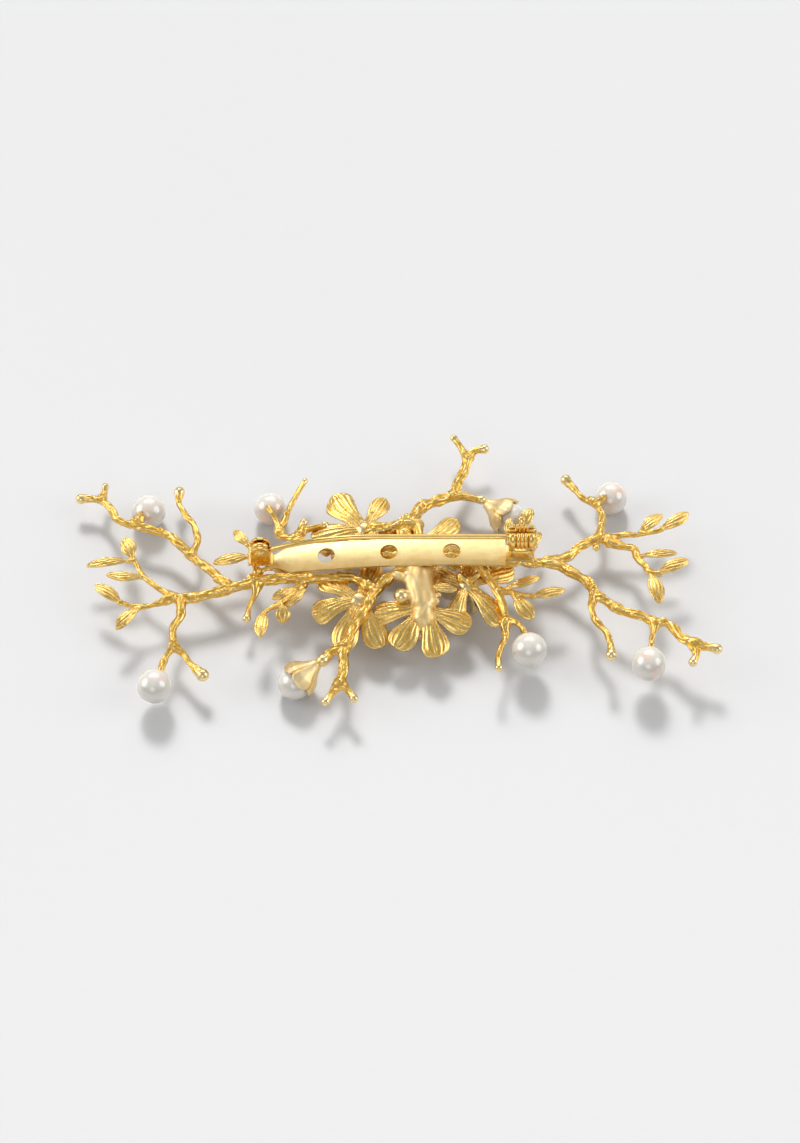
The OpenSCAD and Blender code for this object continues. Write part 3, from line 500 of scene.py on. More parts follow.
def ball(shell, knob, points=28):
    *centre, radius = knob
    turn = np.linspace(-1.5, 1.5, points // 2)[:, None]
    shell.loft(around(centre, np.eye(3), radius * np.cos(turn), radius * np.sin(turn),
                      circle(points)[None, :]))


STALK_R = 0.27


def stalk(item, routes):
    """A short stalk from the nearest point of the routes into the foot of a leaf."""
    base, tip = vec(item[0]), vec(item[1])
    nearest = routes[np.linalg.norm(routes - base, axis=1).argmin()]
    foot = base + 0.5 * unit(tip - base)
    return [STALK_R, STALK_R, 0, [nearest.tolist(), foot.tolist()]]


def twigs(name, runs, node=None, leaf_items=(), neighbours=()):
    """A bough with its side twigs, leaf stalks and the knobs of cut twigs, cast in one piece.

    A leaf's stalk grows from this bough, or from a neighbouring one when that is nearer."""
    shell = Shell()
    if leaf_items:
        routes = np.vstack([smooth_route(run[3], 0.3) for run in [*runs, *neighbours]])
        runs = runs + [stalk(item, routes) for item in leaf_items]
    stems = [Twig(run, seed=[len(name), k, int(abs(run[3][0][0]) * 10)]) for k, run in enumerate(runs)]
    for stem in stems:
        stem.loft(shell)
    for knob in KNOBS.get(name, ()):
        ball(shell, knob)
    place(cast_skin(shell, stems, name), name, "cast_gold", nodes=[node or name])


# ---- leaves and petals

BLADE_POINTS = 48
LEAF_T = 0.5
PETAL_T = 0.62
BOSS_R, BOSS_HEIGHT = 1.25, 0.75


def leaf_outline(u):
    return np.maximum(np.sin(math.pi * np.clip(u, 0, 1)**1.15)**0.62, 0.28 * (1 - u))


def petal_outline(u):
    end = np.sqrt(np.clip(1 - (np.maximum(u - 0.74, 0) / 0.26)**2.4, 0, 1))
    return (0.5 + 0.5 * smoothstep(0.2, 0.78, u)) * end


def blade(shell, base, tip, width, thick, outline, rng, ridges, depth, arch, cup, rings):
    """A leaf or petal: a flat loft with lengthwise ridges, a raised rim, an arch and cupped sides."""
    base, tip = vec(base), vec(tip)
    forward = unit(tip - base)
    side = unit(np.cross(UP, forward))
    above = np.cross(forward, side)
    length = np.linalg.norm(tip - base)
    u = (0.5 - 0.5 * np.cos(np.linspace(0.04, math.pi - 0.05, rings)))[:, None]
    phi = circle(BLADE_POINTS)[None, :]
    evenly = 1 - 2 * np.where(phi <= math.pi, phi, TAU - phi) / math.pi
    a = 0.62 * evenly + 0.38 * np.cos(phi)
    face = np.where(phi <= math.pi, 1.0, -1.0) * (np.abs(np.sin(phi)) > 1e-6)
    half = width / 2 * outline(u) * (1 + 0.03 * np.sin(9 * u + rng.uniform(0, TAU)))
    body = np.sqrt(np.clip(1 - a**2, 0, 1))**0.45
    taper = smoothstep(0, 0.25, half)
    drift = 0.35 * np.sin(TAU * u * rng.uniform(0.5, 0.9) + rng.uniform(0, TAU))
    veins = np.abs(np.sin(math.pi * (ridges * (a + 1) / 2 + drift)))**0.7
    strands = np.abs(np.sin(math.pi * (ridges * 1.7 * (a + 1) / 2 - drift * 1.3)))
    rim = np.exp(-((np.abs(a) - 0.93) / 0.07)**2)
    # The relief cuts the grooves and drives painted shade in them, and painted highlight on the ridges and
    # the rim.
    relief = np.clip(np.maximum(0.7 * veins + 0.3 * strands, rim), 0, 1)
    fade = smoothstep(0.02, 0.16, u) * smoothstep(0.0, 0.1, 1 - u) * (1 - smoothstep(0.9, 1, np.abs(a)))
    z = face * (body * thick / 2 * taper - depth * (1 - relief) * fade)
    z = z + arch * 4 * u * (1 - u) - cup * half * a**2
    lean = rng.uniform(-0.18, 0.18) * u
    y = a * half
    y, z = y * np.cos(lean) - z * np.sin(lean), y * np.sin(lean) + z * np.cos(lean)
    bow = rng.uniform(-0.25, 0.25) * np.sin(math.pi * u)
    rings_at = (base + (u * length)[..., None] * forward + (y + bow)[..., None] * side
                + z[..., None] * above)
    shell.loft(rings_at, relief * np.ones_like(z))


def leaves(name, items, node):
    shell = Shell()
    for k, (base, tip, width) in enumerate(items):
        rng = np.random.default_rng([7, k, len(name)])
        blade(shell, base, tip, width, LEAF_T, leaf_outline, rng, ridges=4, depth=0.13, arch=0.35,
              cup=0.12, rings=30)
    shell.place(name, "cast_gold", nodes=[node])


def dome(shell, centre, radius, height, seed):
    """A low round boss with faint folds round its edge."""
    rng = np.random.default_rng(seed)
    turn = np.linspace(-0.9, 1.45, 16)[:, None]
    phi = circle(40)[None, :]
    folds = 1 + 0.07 * np.sin(5 * phi + rng.uniform(0, TAU)) * np.cos(turn)
    shell.loft(around(centre, np.eye(3), radius * np.cos(turn) * folds, height * np.sin(turn), phi))


def blossom(name, bloom, seed):
    shell = Shell()
    middle = vec(bloom[0])
    for k, (end, width) in enumerate(bloom[1]):
        rng = np.random.default_rng([seed, k])
        outward = unit(vec(end) - middle)
        blade(shell, middle + 0.25 * outward, end, width, PETAL_T, petal_outline, rng,
              ridges=rng.integers(5, 7), depth=0.3, arch=0.5, cup=0.34, rings=40)
    dome(shell, middle + [0, 0, 0.05], BOSS_R, BOSS_HEIGHT, seed)
    shell.place(name, "cast_gold", nodes=[name])


STAMEN_R = 0.25
BEAD_R = 0.5
STAMEN_RING = 1.7
STAMEN_COUNT = 7
STAMEN_POINTS = 16


def stamens(name, bloom):
    """A ring of filaments and one in the middle, each with a bead at the surface."""
    shell = Shell()
    top = vec(bloom[0]) - [0, 0, 0.3]
    feet = [(0.0, 0.0)] + [(STAMEN_RING * math.cos(k * TAU / STAMEN_COUNT),
                            STAMEN_RING * math.sin(k * TAU / STAMEN_COUNT))
                           for k in range(STAMEN_COUNT)]
    for x, y in feet:
        foot = [top[0] + x, top[1] + y, BEAD_R]
        bend = [top[0] + 0.75 * x, top[1] + 0.75 * y, (top[2] + BEAD_R) / 2]
        stem = Twig([STAMEN_R, STAMEN_R * 0.8, BEAD_R, [top.tolist(), bend, foot]], 1, rough=0)
        stem.loft(shell, STAMEN_POINTS)
    shell.place(name, "cast_gold", nodes=[name])


# ---- hub casting

# Two short roots by the right blossom
HUB_FAN = [
    [0.75, 0.5, 0, [[9.8, -2.6, 5.9], [11.2, -3.1, 6], [12.6, -2.2, 6.1]]],
    [0.7, 0.4, 0, [[10, -3, 5.8], [11.4, -4.3, 5.8], [12.4, -5.2, 5.7]]],
]
HUB_COLUMN = [
    [1.85, 1.65, 0, [[2.9, -1.8, 6.1], [3.3, -3.6, 6.4], [3.7, -5.6, 6.3], [4, -7.2, 6]]],
    [1.65, 1.55, 0, [[4.3, -1.9, 6.0], [4.3, -3.8, 6.2], [4.6, -5.6, 6.1], [4.8, -7, 5.9]]],
    [1.3, 2, 0, [[4.3, -6.6, 6], [4.4, -8.3, 5.5], [4.4, -9.2, 5.1]]],
    [0.85, 0.75, 0, [[3.7, -5.4, 6.4], [2.4, -6.1, 6.6], [1.2, -6.5, 6.8]]],
    [0.9, 0.8, 0, [[3.2, -2.6, 6.5], [1.8, -3.3, 6.7], [0.4, -2.8, 6.6]]],
    [0.5, 0.45, 0, [[4.4, -7.4, 6.2], [6.2, -7.2, 6.4]]],
]
# The spine's run that stands for the column, which is cast smooth and so is made apart
COLUMN_RUN = 1
COLUMN_SMOOTHING = 26


def hub_casting():
    """The soldered root of the boughs: barky roots under the bar and a smooth column with knobs."""
    shell = Shell()
    roots = [Twig(run, seed=[31, k]) for k, run in enumerate(HUB_SPINE + HUB_FAN) if k != COLUMN_RUN]
    for stem in roots:
        stem.loft(shell)
    place(cast_skin(shell, roots, "hub_roots"), "hub_roots", "cast_gold", nodes=["hub_casting"])
    shell = Shell()
    for run in HUB_COLUMN:
        Twig(run, 5, rough=0).loft(shell)
    for knob in HUB_KNOBS[1:]:
        ball(shell, knob)
    skin = melted(shell, "hub_column", COLUMN_SMOOTHING)
    co, normal = vertex_values(skin, "co"), vertex_values(skin, "normal")
    lumps = np.sin(2.1 * co[:, 0] + 1) * np.sin(1.7 * co[:, 1]) * np.sin(2.6 * co[:, 2] + 2)
    creases = np.abs(np.sin(2.2 * co[:, 0] + 0.8 * np.sin(1.1 * co[:, 1]))) - 0.6
    # This relief only sets colour: painted shade in the creases and painted highlight on the lumps.
    carve(skin, co, normal, 0.07 * lumps + 0.06 * creases,
          np.clip(0.8 + 0.2 * lumps + 0.3 * creases, 0, 1))
    place(skin, "hub_column", "satin_gold", nodes=["hub_casting"])
    knob = Shell()
    ball(knob, HUB_KNOBS[0], points=40)
    knob.place("hub_ball", "cast_gold", nodes=["hub_casting"])
    leaves("hub_leaf", [[[5.4, -5.1, 6.6], [9.2, -5.2, 6.3], 1.5]], "hub_casting")


# ---- buds and pearls

CUP_LEN = 4.1
CUP_FLOOR = 0.9
CREASE = 0.16
PEARL_SHARE = 0.987
POLE_GAP = 0.03
CUP_OUTER = [[0.02, 0], [0.5, 0.02], [0.75, 0.15], [0.95, 0.6], [1.35, 1.3], [1.95, 2], [2.4, 2.6],
             [2.6, 3.1], [2.8, 3.7], [2.84, CUP_LEN]]
CUP_INNER = [[2.5, CUP_LEN], [2.42, 3.7], [2.25, 3.2], [1.6, 2.3], [0.7, CUP_FLOOR + 0.2],
             [0.02, CUP_FLOOR]]


def aim(from_point, to_point):
    """Three axes with the last one along the line between the points."""
    forward = unit(vec(to_point) - vec(from_point))
    side = unit(np.cross(UP, forward))
    return side, np.cross(forward, side), forward


def bud_cup(name, pearl, turn):
    """A cup of five overlapping sepals whose rim is scalloped and creased between the lobes."""
    profile = np.array(CUP_OUTER + CUP_INNER)
    places = arc_lengths(profile)
    t = np.linspace(0, places[-1], 64)
    radius = np.interp(t, places, profile[:, 0])[:, None]
    height = np.interp(t, places, profile[:, 1])[:, None]
    phi = circle(110)[None, :]
    lobe = np.abs(np.cos(2.5 * (phi + turn)))
    rim_drop = 0.8 * (1 - lobe**0.6) + 0.05 * np.sin(13 * phi + 1) * lobe
    rise = smoothstep(0.8, CUP_LEN, height)
    crease = CREASE * np.exp(-(lobe / 0.16)**2) * smoothstep(0.6, 2.6, height)
    veins = 0.03 * np.abs(np.sin(12.5 * (phi + turn))) * rise
    outer = (np.arange(len(t))[:, None] < len(t) * 0.6)
    shown = radius - (crease + veins) * np.where(outer, 1, 0.6) * smoothstep(0, 0.6, radius)
    lift = height - rim_drop * rise * smoothstep(1.5, 2.8, radius)
    shell = Shell()
    # The relief only sets colour: painted shade in the creases between the lobes.
    shell.loft(around(pearl[2], aim(pearl[2], pearl[0]), shown, lift, phi),
               1 - crease / CREASE * np.ones_like(phi))
    shell.place(name, "satin_gold", nodes=[name])


def pearl(name, spec, seed):
    """A cultured pearl: nearly round, faintly ringed, its poles on the line of its peg."""
    centre, radius, held = spec
    rng = np.random.default_rng(seed)
    turn = np.linspace(-math.pi / 2 + POLE_GAP, math.pi / 2 - POLE_GAP, 40)[:, None]
    phi = circle(56)[None, :]
    lump = 0.008 * np.sin(2 * phi + rng.uniform(0, TAU)) * np.cos(turn)
    lump = lump + 0.005 * np.sin(3 * turn + rng.uniform(0, TAU)) + 0.002 * np.sin(11 * turn)
    r = radius * (PEARL_SHARE + lump * np.ones_like(phi))
    shell = Shell()
    shell.loft(around(centre, aim(held, centre), r * np.cos(turn), r * np.sin(turn), phi))
    shell.place(name, "pearl", nodes=[name])


# ---- pin back

PIN_Y = 0.2
STEM_Z = 12.1
STEM_R = 0.38
RIVET_R = 0.45
HINGE = np.array([-19.1, PIN_Y, 9.0323])
ARC_START_X = -2.5
ARC_R = 35
ARC_ANGLE = math.radians(23)
TAPER_X = 15.5
STEM_END_X = 21
POINT_R = 0.1
BAR_W = 4.5
BAR_T = 0.55
BAR_X = (-14.7, 16.2)
BAR_NECK = (-17.2, 20.1)
BAR_CROWN_X = 8
BAR_TOP_Z = 8.4
BAR_BEND_R = 125
HOLES_X = (-9.65, -0.6, 8.45)
HOLE_R = 1.25
DRILL_Z = (4.0, 11.0)
BAR_CROWN = 0.16
BAR_EDGE = 0.07
STEP_X = 0.02
NECK_W = 2
FOOT_W = 2.4
CATCH_X0 = 16.5
CATCH_LEN = 3.8
CATCH_ROUND = 0.3
RING_LEN = 0.9
CATCH_R = 2
SLEEVE_R = 1.3
BORE_R = 0.7
FLANGE_R = 1.85
SLOT_W = 1.1
EAR_T = 0.4
EAR_GAP = 1.2
EAR_R = 1.4
HINGE_FLOOR_Z = (5.75, 6.3)
HINGE_FLOOR_HALF = 1.8
HINGE_FLOOR_W = EAR_GAP + 1.7 * EAR_T
BEVEL_ANGLE = 0.7
RIVET_HEAD = 0.3
RIVET_HEAD_SHARE = 1.7
RING_MOUTH = 1.3
RING_CROWN = 0.16
RIB_CROWN = 0.2
RIBS = 3
TURN_STEPS = 72
SLEEVE_RIM = 0.1
RING_RIM = 0.12
CLEARANCE = 0.15
FIT = 0.05
EYE_R = RIVET_R + FIT + STEM_R
SLEEVE_PROUD = 0.2
# The foot's heights above its bottom, with its share of the full size there; then at its top
FOOT_SHAPE = [(0, 1), (0.4, 1), (1.2, 0.86)]
FOOT_TOP = 0.8
POST_W = 0.85
FOOT_SINK = 0.7
LEVER_TILT = math.radians(25)
# Sections along the lever: [distance from the catch's axis, half thickness, half width]
LEVER = [[1.2, 0.3, 0.4], [1.9, 0.27, 0.36], [2.15, 0.34, 0.4], [2.4, 0.42, 0.5], [2.65, 0.42, 0.5],
         [2.85, 0.28, 0.36], [2.94, 0.08, 0.1]]


def bar_top(x):
    return BAR_TOP_Z - (x - BAR_CROWN_X)**2 / (2 * BAR_BEND_R)


def bar_half_width(x):
    left = np.interp(x, [BAR_NECK[0], BAR_X[0]], [NECK_W / 2, BAR_W / 2])
    return np.where(x > BAR_X[1], FOOT_W / 2, left)


def with_bevel(mesh, name, width, segments=2):
    """An object that rounds the sharp edges of the mesh."""
    source = new_object(name + "_source", mesh)
    bevel = source.modifiers.new("round", "BEVEL")
    bevel.width = width
    bevel.segments = segments
    bevel.limit_method = "ANGLE"
    bevel.angle_limit = BEVEL_ANGLE
    normals = source.modifiers.new("normals", "WEIGHTED_NORMAL")
    normals.keep_sharp = True
    return source


def applied(source):
    """The object's finished mesh in metres, smooth but for its sharp edges."""
    mesh = skin_of(source)
    mesh.vertices.foreach_set("co", vertex_values(mesh, "co").ravel() * MM)
    set_relief(mesh, np.ones(len(mesh.vertices)))
    mesh.shade_smooth()
    return mesh


def slab_rings(xs, half_widths, tops, crown, thick):
    """Rings across a strip with square edges, whose underside is crowned less than its top."""
    across = np.linspace(-1, 1, 13)
    rings = []
    for x, half, top in zip(xs, half_widths, tops):
        upper = [(a * half, top - crown * a**2) for a in across]
        lower = [(a * half, top - thick - crown * 0.6 * a**2) for a in across[::-1]]
        rings.append([(x, PIN_Y + y, z) for y, z in upper[::-1] + lower[::-1]])
    return np.array(rings)


def pin_bar():
    """The bent strip with its necks, three solder holes and two hinge ears."""
    shell = Shell()
    xs = np.concatenate([[HINGE[0] + 0.6], np.linspace(BAR_NECK[0], BAR_X[0], 8)[:-1],
                         np.linspace(BAR_X[0], BAR_X[1], 70), [BAR_X[1] + STEP_X],
                         np.linspace(BAR_X[1] + 0.3, BAR_NECK[1], 6)])
    shell.loft(slab_rings(xs, bar_half_width(xs), bar_top(xs), BAR_CROWN, BAR_T - 0.1))
    source = with_bevel(shell.mesh("bar_strip", scale=1), "pin_bar", BAR_EDGE)
    for k, x in enumerate(HOLES_X):
        drill = Shell()
        phi = circle(56)
        drill.loft(np.array([rows(x + HOLE_R * np.cos(phi), PIN_Y + HOLE_R * np.sin(phi), z)
                             for z in DRILL_Z]))
        cut = source.modifiers.new("hole", "BOOLEAN")
        cut.object = new_object("drill", drill.mesh("drill", scale=1))
        cut.operation = "DIFFERENCE"
        cut.solver = "EXACT"
        source.modifiers.move(len(source.modifiers) - 1, k)
    strip = applied(source)
    for cutter in [o for o in bpy.data.objects if o.name.startswith("drill")]:
        bpy.data.objects.remove(cutter, do_unlink=True)
    place(strip, "pin_bar", "brushed_gold", nodes=["pin_bar"])
    hinge_ears()


def plate(outline, y, thick, name, bevel, segments):
    """A piece cut from flat plate in the XZ plane, with rounded edges."""
    shell = Shell()
    x, z = np.array(outline).T
    shell.loft(np.array([rows(x, y + side * thick / 2, z) for side in (-1, 1)]))
    source = with_bevel(shell.mesh(name, scale=1), name, bevel, segments)
    place(applied(source), name, "polished_gold", nodes=["pin_bar"])


def hinge_ears():
    """Two round-topped ears with a bent-over floor between them, on the bar's neck."""
    low, high = HINGE_FLOOR_Z
    round_top = [(HINGE[0] + EAR_R * math.cos(t), HINGE[2] + EAR_R * math.sin(t))
                 for t in np.linspace(0, math.pi, 25)]
    outline = round_top + [(HINGE[0] - EAR_R, low), (HINGE[0] + EAR_R, low)]
    for side, name in ((-1, "hinge_ear_front"), (1, "hinge_ear_back")):
        plate(outline[::-1], PIN_Y + side * (EAR_GAP + EAR_T) / 2, EAR_T, name, 0.09, 3)
    left, right = HINGE[0] - HINGE_FLOOR_HALF, HINGE[0] + HINGE_FLOOR_HALF
    plate([(left, low), (right, low), (right, high), (left, high)], PIN_Y, HINGE_FLOOR_W,
          "hinge_floor", 0.08, 2)


def hinge_rivet():
    """A rivet along Y with two domed heads: its profile holds (distance along Y, radius)."""
    half = EAR_GAP / 2 + EAR_T
    right = [(half + RIVET_HEAD * math.sin(t), RIVET_R * RIVET_HEAD_SHARE * math.cos(t))
             for t in np.linspace(0, 1.5, 8)]
    left = [(-y, r) for y, r in right[::-1]]
    phi = circle(48)
    shell = Shell()
    shell.loft(np.array([rows(HINGE[0] + r * np.sin(phi), HINGE[1] + y, HINGE[2] + r * np.cos(phi))
                         for y, r in left + [(-half, RIVET_R), (half, RIVET_R)] + right]))
    shell.place("hinge_rivet", "polished_gold", nodes=["hinge_rivet"])


def wire_path():
    """The stem's middle line: three quarters of an eye, a rise, an arc and a straight stretch."""
    def on_arc(centre, radius, angles):
        return rows(centre[0] + radius * np.cos(angles), PIN_Y, centre[1] + radius * np.sin(angles))
    lift = math.pi / 2
    eye_end = -lift + ARC_ANGLE
    eye = on_arc((HINGE[0], HINGE[2]), EYE_R, np.linspace(eye_end - 1.5 * math.pi, eye_end, 60))
    bend = on_arc((ARC_START_X, STEM_Z - ARC_R), ARC_R, np.linspace(lift + ARC_ANGLE, lift, 40))
    straight = rows(np.linspace(ARC_START_X, STEM_END_X, 60)[1:], PIN_Y, STEM_Z)
    return np.vstack([eye, bend, straight])


def pin_stem():
    path = resample(wire_path(), 0.12)
    _, normal, binormal = frames_along(path)
    radius = np.interp(path[:, 0], [TAPER_X, STEM_END_X], [STEM_R, POINT_R])
    shell = Shell()
    shell.loft(wire(path, radius, normal, binormal, TWIG_POINTS))
    shell.place("pin_stem_wire", "polished_gold", body="pin", nodes=["pin_stem"])


def barrelled(x, radius):
    """The catch's outside at x: its ribs follow one rounded, barrel-like outline."""
    off = (x - CATCH_X0 - CATCH_LEN / 2) / (CATCH_LEN / 2)
    return radius * math.sqrt(max(1 - CATCH_ROUND * off**2, 0.3))


def turned_open(shell, section, outer, mouth):
    """Turns the section about the catch's axis, but for a mouth of that width towards +Z."""
    gap = math.asin(mouth / 2 / outer)
    x, r = np.array(section).T
    shell.loft(np.array([rows(x, PIN_Y + r * math.sin(t), STEM_Z + r * math.cos(t))
                         for t in np.linspace(gap, TAU - gap, TURN_STEPS)]))


def open_ring(shell, x0, length, inner, outer, mouth, crown):
    """A ring along X, open towards +Z, whose outside is crowned."""
    section = []
    for t in np.linspace(-1, 1, 11):
        x = x0 + length * (t + 1) / 2
        section.append((x, barrelled(x, outer) - crown * abs(t)**2.5))
    x1, edge = x0 + length, inner + RING_RIM
    section += [(x1, edge), (x1 - RING_RIM, inner), (x0 + RING_RIM, inner), (x0, edge)]
    turned_open(shell, section, outer, mouth)


def block(shell, middle, length, levels):
    """A round-cornered block under the catch: levels holds (height, share of X, share of Y)."""
    phi = circle(40)
    x, y = (np.sign(f) * np.abs(f)**0.6 for f in (np.cos(phi), np.sin(phi)))
    shell.loft(np.array([rows(middle + x * length / 2 * wide, PIN_Y + y * FOOT_W / 2 * deep, z)
                         for z, wide, deep in levels]))


def catch_rings():
    """The two fixed rings, and their foot on the bar with a post under each."""
    shell, foot = Shell(), Shell()
    top, bottom = STEM_Z - FLANGE_R - CLEARANCE, BAR_TOP_Z - FOOT_SINK
    levels = [(bottom + rise, share, share) for rise, share in FOOT_SHAPE]
    block(foot, CATCH_X0 + CATCH_LEN / 2, CATCH_LEN, levels + [(top, FOOT_TOP, FOOT_TOP)])
    for x in (CATCH_X0, CATCH_X0 + CATCH_LEN - RING_LEN):
        open_ring(shell, x, RING_LEN, SLEEVE_R + FIT, CATCH_R, RING_MOUTH, RING_CROWN)
        block(foot, x + RING_LEN / 2, RING_LEN,
              [(top - 0.3, 1, POST_W), (STEM_Z - SLEEVE_R - CLEARANCE, 1, POST_W)])
    shell.place("catch_ring_pair", "polished_gold", nodes=["catch_rings"])
    foot.place("catch_foot", "polished_gold", nodes=["catch_rings"])


def catch_sleeve():
    """The turning sleeve: a slotted tube, a ribbed flange and a small lever with a round end."""
    shell = Shell()
    x0 = CATCH_X0 - SLEEVE_PROUD
    x1 = x0 + CATCH_LEN + 2 * SLEEVE_PROUD
    high, low = SLEEVE_R - SLEEVE_RIM, BORE_R + SLEEVE_RIM
    turned_open(shell, [(x0, high), (x0 + SLEEVE_RIM, SLEEVE_R), (x1 - SLEEVE_RIM, SLEEVE_R), (x1, high),
                        (x1, low), (x1 - SLEEVE_RIM, BORE_R), (x0 + SLEEVE_RIM, BORE_R), (x0, low)],
                SLEEVE_R, SLOT_W)
    gap_x = CATCH_X0 + RING_LEN + CLEARANCE
    gap_len = CATCH_LEN - 2 * RING_LEN - 2 * CLEARANCE
    rib = gap_len / RIBS
    for k in range(RIBS):
        open_ring(shell, gap_x + k * rib, rib, BORE_R, FLANGE_R, SLOT_W, RIB_CROWN)
    shell.place("catch_sleeve_barrel", "polished_gold", body="sleeve",
          nodes=["catch_sleeve"])
    lever = Shell()
    out = np.array([0, math.cos(LEVER_TILT), math.sin(LEVER_TILT)])
    up = np.array([0, -math.sin(LEVER_TILT), math.cos(LEVER_TILT)])
    middle = np.array([gap_x + gap_len / 2, PIN_Y, STEM_Z])
    phi = circle(32)
    flat = np.sign(np.cos(phi)) * np.abs(np.cos(phi))**0.7
    rings = [middle + out * reach + np.outer(flat * wide, [1, 0, 0]) + np.outer(np.sin(phi) * thick, up)
             for reach, thick, wide in LEVER]
    lever.loft(np.array(rings)[:, ::-1])
    lever.place("catch_lever", "polished_gold", body="sleeve",
          nodes=["catch_sleeve"])


# ---- materials

class Nodes:
    """A short way to build the nodes of a material or of the world."""

    def __init__(self, owner, last="Principled BSDF", coordinates="Object"):
        owner.use_nodes = True
        self.owner, self.tree = owner, owner.node_tree
        self.last = self.tree.nodes[last]
        self.place = self.add("ShaderNodeTexCoord", {})[coordinates]

    def feed(self, node, inputs):
        """Links each input to another node's output, or sets it where the value is a plain one."""
        for key, value in inputs.items():
            if isinstance(value, bpy.types.NodeSocket):
                self.tree.links.new(value, node.inputs[key])
            else:
                node.inputs[key].default_value = value

    def add(self, kind, inputs, **settings):
        """Makes a node and gives its outputs."""
        node = self.tree.nodes.new(kind)
        for key, value in settings.items():
            setattr(node, key, value)
        self.feed(node, inputs)
        return node.outputs

    def noise(self, scale, detail=3, stretch=(1, 1, 1)):
        """Noise in the object's own place; scale counts blobs per metre."""
        place = self.add("ShaderNodeMapping", {"Vector": self.place, "Scale": stretch})["Vector"]
        return self.add("ShaderNodeTexNoise", {"Vector": place, "Scale": scale, "Detail": detail})["Fac"]

    def ramp(self, source, stops):
        node = self.tree.nodes.new("ShaderNodeValToRGB")
        elements = node.color_ramp.elements
        while len(elements) < len(stops):
            elements.new(0.5)
        for element, (place, colour) in zip(elements, stops):
            element.position = place
            element.color = (*colour, 1)
        self.feed(node, {"Fac": source})
        return node.outputs["Color"]

    def mix(self, kind, factor, a, b):
        """Mixes two colours."""
        inputs = {0: factor, 6: a, 7: b}
        return self.add("ShaderNodeMix", inputs, data_type="RGBA", blend_type=kind)[2]

    def bump(self, height, distance, **under):
        inputs = {"Height": height, "Strength": 1.0, "Distance": distance, **under}
        return self.add("ShaderNodeBump", inputs)["Normal"]


BLACK, WHITE = (0, 0, 0), (1, 1, 1)


def gold(name, deep, body, ridge_highlight, rough, grain_scale, grain_depth, stretch=(1, 1, 1), lumps=0.00006):
    """Gold plate: darker in the hollows as painted shade and paler on the ridges as painted highlight, both
    set by the relief; duller in the hollows and glossier on the ridges.
    """
    n = Nodes(bpy.data.materials.new(name))
    relief = n.add("ShaderNodeAttribute", {}, attribute_name="relief")["Fac"]
    # Painted shade and highlight: the tone runs from the deep colour in the grooves to the pale one on the
    # ridges.
    tone = n.ramp(relief, [(0.0, deep), (0.55, body), (1.0, ridge_highlight)])
    patches = n.ramp(n.noise(700, detail=4), [(0.3, (0.86, 0.8, 0.68)), (0.65, WHITE)])
    dull = n.ramp(relief, [(0, (rough[1],) * 3), (1, (rough[0],) * 3)])
    specks = n.ramp(n.noise(2500), [(0.35, BLACK), (0.7, WHITE)])
    soft = n.bump(n.noise(1100), lumps)
    fine = n.bump(n.noise(grain_scale, detail=5, stretch=stretch), grain_depth, Normal=soft)
    n.feed(n.last, {"Base Color": n.mix("MULTIPLY", 0.55, tone, patches), "Metallic": 1.0,
                    "Roughness": n.mix("ADD", 0.12, dull, specks), "Normal": fine})
    return n.owner


def pearl_material():
    """Nacre: cream with drifting peach and green-grey clouds under a clear gloss."""
    n = Nodes(bpy.data.materials.new("pearl"))
    base = n.ramp(n.noise(260, detail=2), [(0.30, (0.74, 0.56, 0.44)), (0.44, (0.70, 0.64, 0.57)),
                                           (0.58, (0.66, 0.65, 0.58)), (0.72, (0.70, 0.61, 0.56))])
    rough = n.add("ShaderNodeMapRange", {"Value": n.noise(1800), "To Min": 0.2, "To Max": 0.28})
    n.feed(n.last, {"Base Color": base, "Roughness": rough["Result"], "Subsurface Weight": 0.12,
                    "Subsurface Radius": (1.0, 0.8, 0.6), "Subsurface Scale": 0.0008,
                    "Coat Weight": 1.0, "Coat Roughness": 0.08, "Coat IOR": 2.1,
                    "Sheen Weight": 0.15, "Sheen Tint": (1.0, 0.85, 0.78, 1),
                    "Normal": n.bump(n.noise(900, detail=1), 0.000006)})
    return n.owner


def floor_material():
    n = Nodes(bpy.data.materials.new("floor"))
    tone = n.ramp(n.noise(3), [(0.4, FLOOR_TONES[0]), (0.6, FLOOR_TONES[1])])
    n.feed(n.last, {"Base Color": tone, "Roughness": 0.9, "Specular IOR Level": 0.0})
    return n.owner


FLOOR_TONES = ((0.628, 0.628, 0.633), (0.638, 0.638, 0.643))
# In each finish the first colour is painted shade for the grooves and the last is painted highlight for the
# ridges; a piece whose relief is 1 all over takes only the last colour.
DEEP_SHADE, BODY_TONE, PALE_HIGHLIGHT = (0.84, 0.40, 0.02), (0.90, 0.56, 0.11), (0.98, 0.78, 0.40)
MATERIALS = {
    "cast_gold": gold("cast_gold", DEEP_SHADE, BODY_TONE, PALE_HIGHLIGHT, rough=(0.2, 0.34), grain_scale=9000,
                      grain_depth=0.000012),
    "satin_gold": gold("satin_gold", (0.80, 0.46, 0.12), (0.92, 0.65, 0.25), (1.0, 0.80, 0.44),
                       rough=(0.36, 0.44), grain_scale=16000, grain_depth=0.00002),
    "brushed_gold": gold("brushed_gold", (0.80, 0.56, 0.20), (0.87, 0.66, 0.28), (0.93, 0.74, 0.36),
                         rough=(0.3, 0.4), grain_scale=12000, grain_depth=0.00002,
                         stretch=(1, 0.06, 0.3), lumps=0.00002),
    "polished_gold": gold("polished_gold", (0.75, 0.36, 0.06), (0.93, 0.57, 0.14), (0.98, 0.68, 0.22),
                          rough=(0.12, 0.2), grain_scale=5000, grain_depth=0.000004, lumps=0.000016),
    "pearl": pearl_material(),
}

# ---- studio

VIEW_TARGET = np.array([1.0, -0.6, 4.0]) * MM
VIEW_DISTANCE = 0.46
VIEW_ELEVATION = math.radians(58)
FLOOR_SIZE = 4.0
KEY_POWER = 2.05
KEY_SPREAD = math.radians(13)
KEY_TURN = (math.radians(-45), math.radians(-6), 0)
SKY_DARK = 0.40


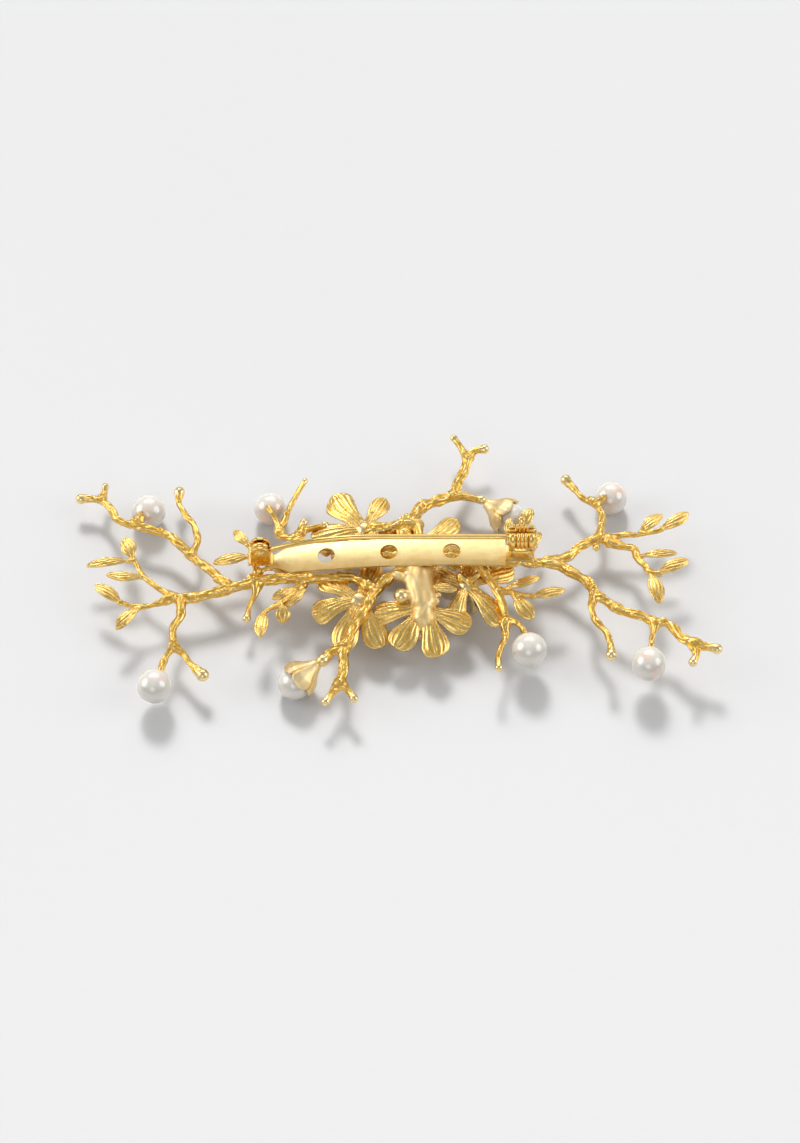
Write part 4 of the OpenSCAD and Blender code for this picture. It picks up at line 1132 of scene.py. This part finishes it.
def camera():
    data = bpy.data.cameras.new("camera")
    data.lens = 100
    data.sensor_fit = "VERTICAL"
    data.sensor_height = 36
    data.clip_start = 0.01
    obj = new_object("camera", data)
    back = np.array([0, -math.cos(VIEW_ELEVATION), math.sin(VIEW_ELEVATION)])
    obj.location = VIEW_TARGET + back * VIEW_DISTANCE
    obj.rotation_euler = (math.pi / 2 - VIEW_ELEVATION, 0, 0)
    bpy.context.scene.camera = obj


def floor():
    half = FLOOR_SIZE / 2
    mesh = bpy.data.meshes.new("floor")
    mesh.from_pydata([(-half, -half, 0), (half, -half, 0), (half, half, 0), (-half, half, 0)], [],
                     [(0, 1, 2, 3)])
    obj = new_object("floor", mesh)
    mesh.materials.append(floor_material())


def key_light():
    """A soft light from behind and above, whose shadows fall towards the viewer."""
    data = bpy.data.lights.new("key", "SUN")
    data.energy = KEY_POWER
    data.angle = KEY_SPREAD
    obj = new_object("key", data)
    obj.visible_glossy = False
    obj.rotation_euler = KEY_TURN


def sky():
    """A dim room lit by the softboxes."""
    world = bpy.data.worlds.new("studio")
    bpy.context.scene.world = world
    n = Nodes(world, "Background", "Generated")
    total = SKY_DARK
    for direction, cut, softness, power in SOFTBOXES:
        towards = tuple(unit(vec(direction)))
        dot = n.add("ShaderNodeVectorMath", {0: n.place, 1: towards}, operation="DOT_PRODUCT")["Value"]
        edges = {"Value": dot, "From Min": cut - softness, "From Max": cut + softness}
        glow = n.add("ShaderNodeMapRange", edges, interpolation_type="SMOOTHSTEP")["Result"]
        total = n.add("ShaderNodeMath", {0: glow, 1: power, 2: total}, operation="MULTIPLY_ADD")[0]
    n.feed(n.last, {"Strength": total, "Color": (1, 1, 1, 1)})


# Behind and overhead, on the left, on the right, in front, and a small bright one behind:
# direction, cosine of the half angle, softness of the edge, power
SOFTBOXES = [((0.1, 0.75, 0.66), 0.93, 0.05, 1.15), ((-1, 0.1, 0.55), 0.93, 0.03, 2.2),
             ((1, -0.05, 0.6), 0.94, 0.03, 2.0), ((-0.15, -1, 0.75), 0.96, 0.02, 1.2),
             ((-0.3, 0.85, 0.75), 0.992, 0.004, 9)]


# ---- the object

def build_brooch():
    for name, runs in BOUGHS.items():
        twigs(name, runs)
    for node, (runs, items) in SPRAYS.items():
        beside = BOUGHS["right_main_bough"] if node == "right_leaf_spray" else ()
        twigs(node + "_stalks", runs, node, leaf_items=items, neighbours=beside)
        leaves(node + "_blades", items, node)
    leaves("right_tip_blades", RIGHT_TIP_LEAVES, "right_tip_leaves")
    for k, (name, bloom) in enumerate(BLOSSOMS.items()):
        blossom("blossom_" + name, bloom, seed=11 + k)
        stamens("stamens_" + name, bloom)
    hub_casting()
    bud_cup("lower_bud_cup", PEARLS["lower_bud"], turn=0.3)
    bud_cup("upper_bud_cup", PEARLS["upper_bud"], turn=0.9)
    for k, (name, spec) in enumerate(PEARLS.items()):
        pearl("pearl_" + name, spec, seed=k)
    pin_bar()
    hinge_rivet()
    pin_stem()
    catch_rings()
    catch_sleeve()
    pegs = frame["nodes"]["pearl_pegs"]
    for slot in pegs.material_slots:
        slot.material = MATERIALS["polished_gold"]


build_brooch()
floor()
key_light()
sky()
camera()
bpy.context.scene.view_settings.view_transform = "Standard"
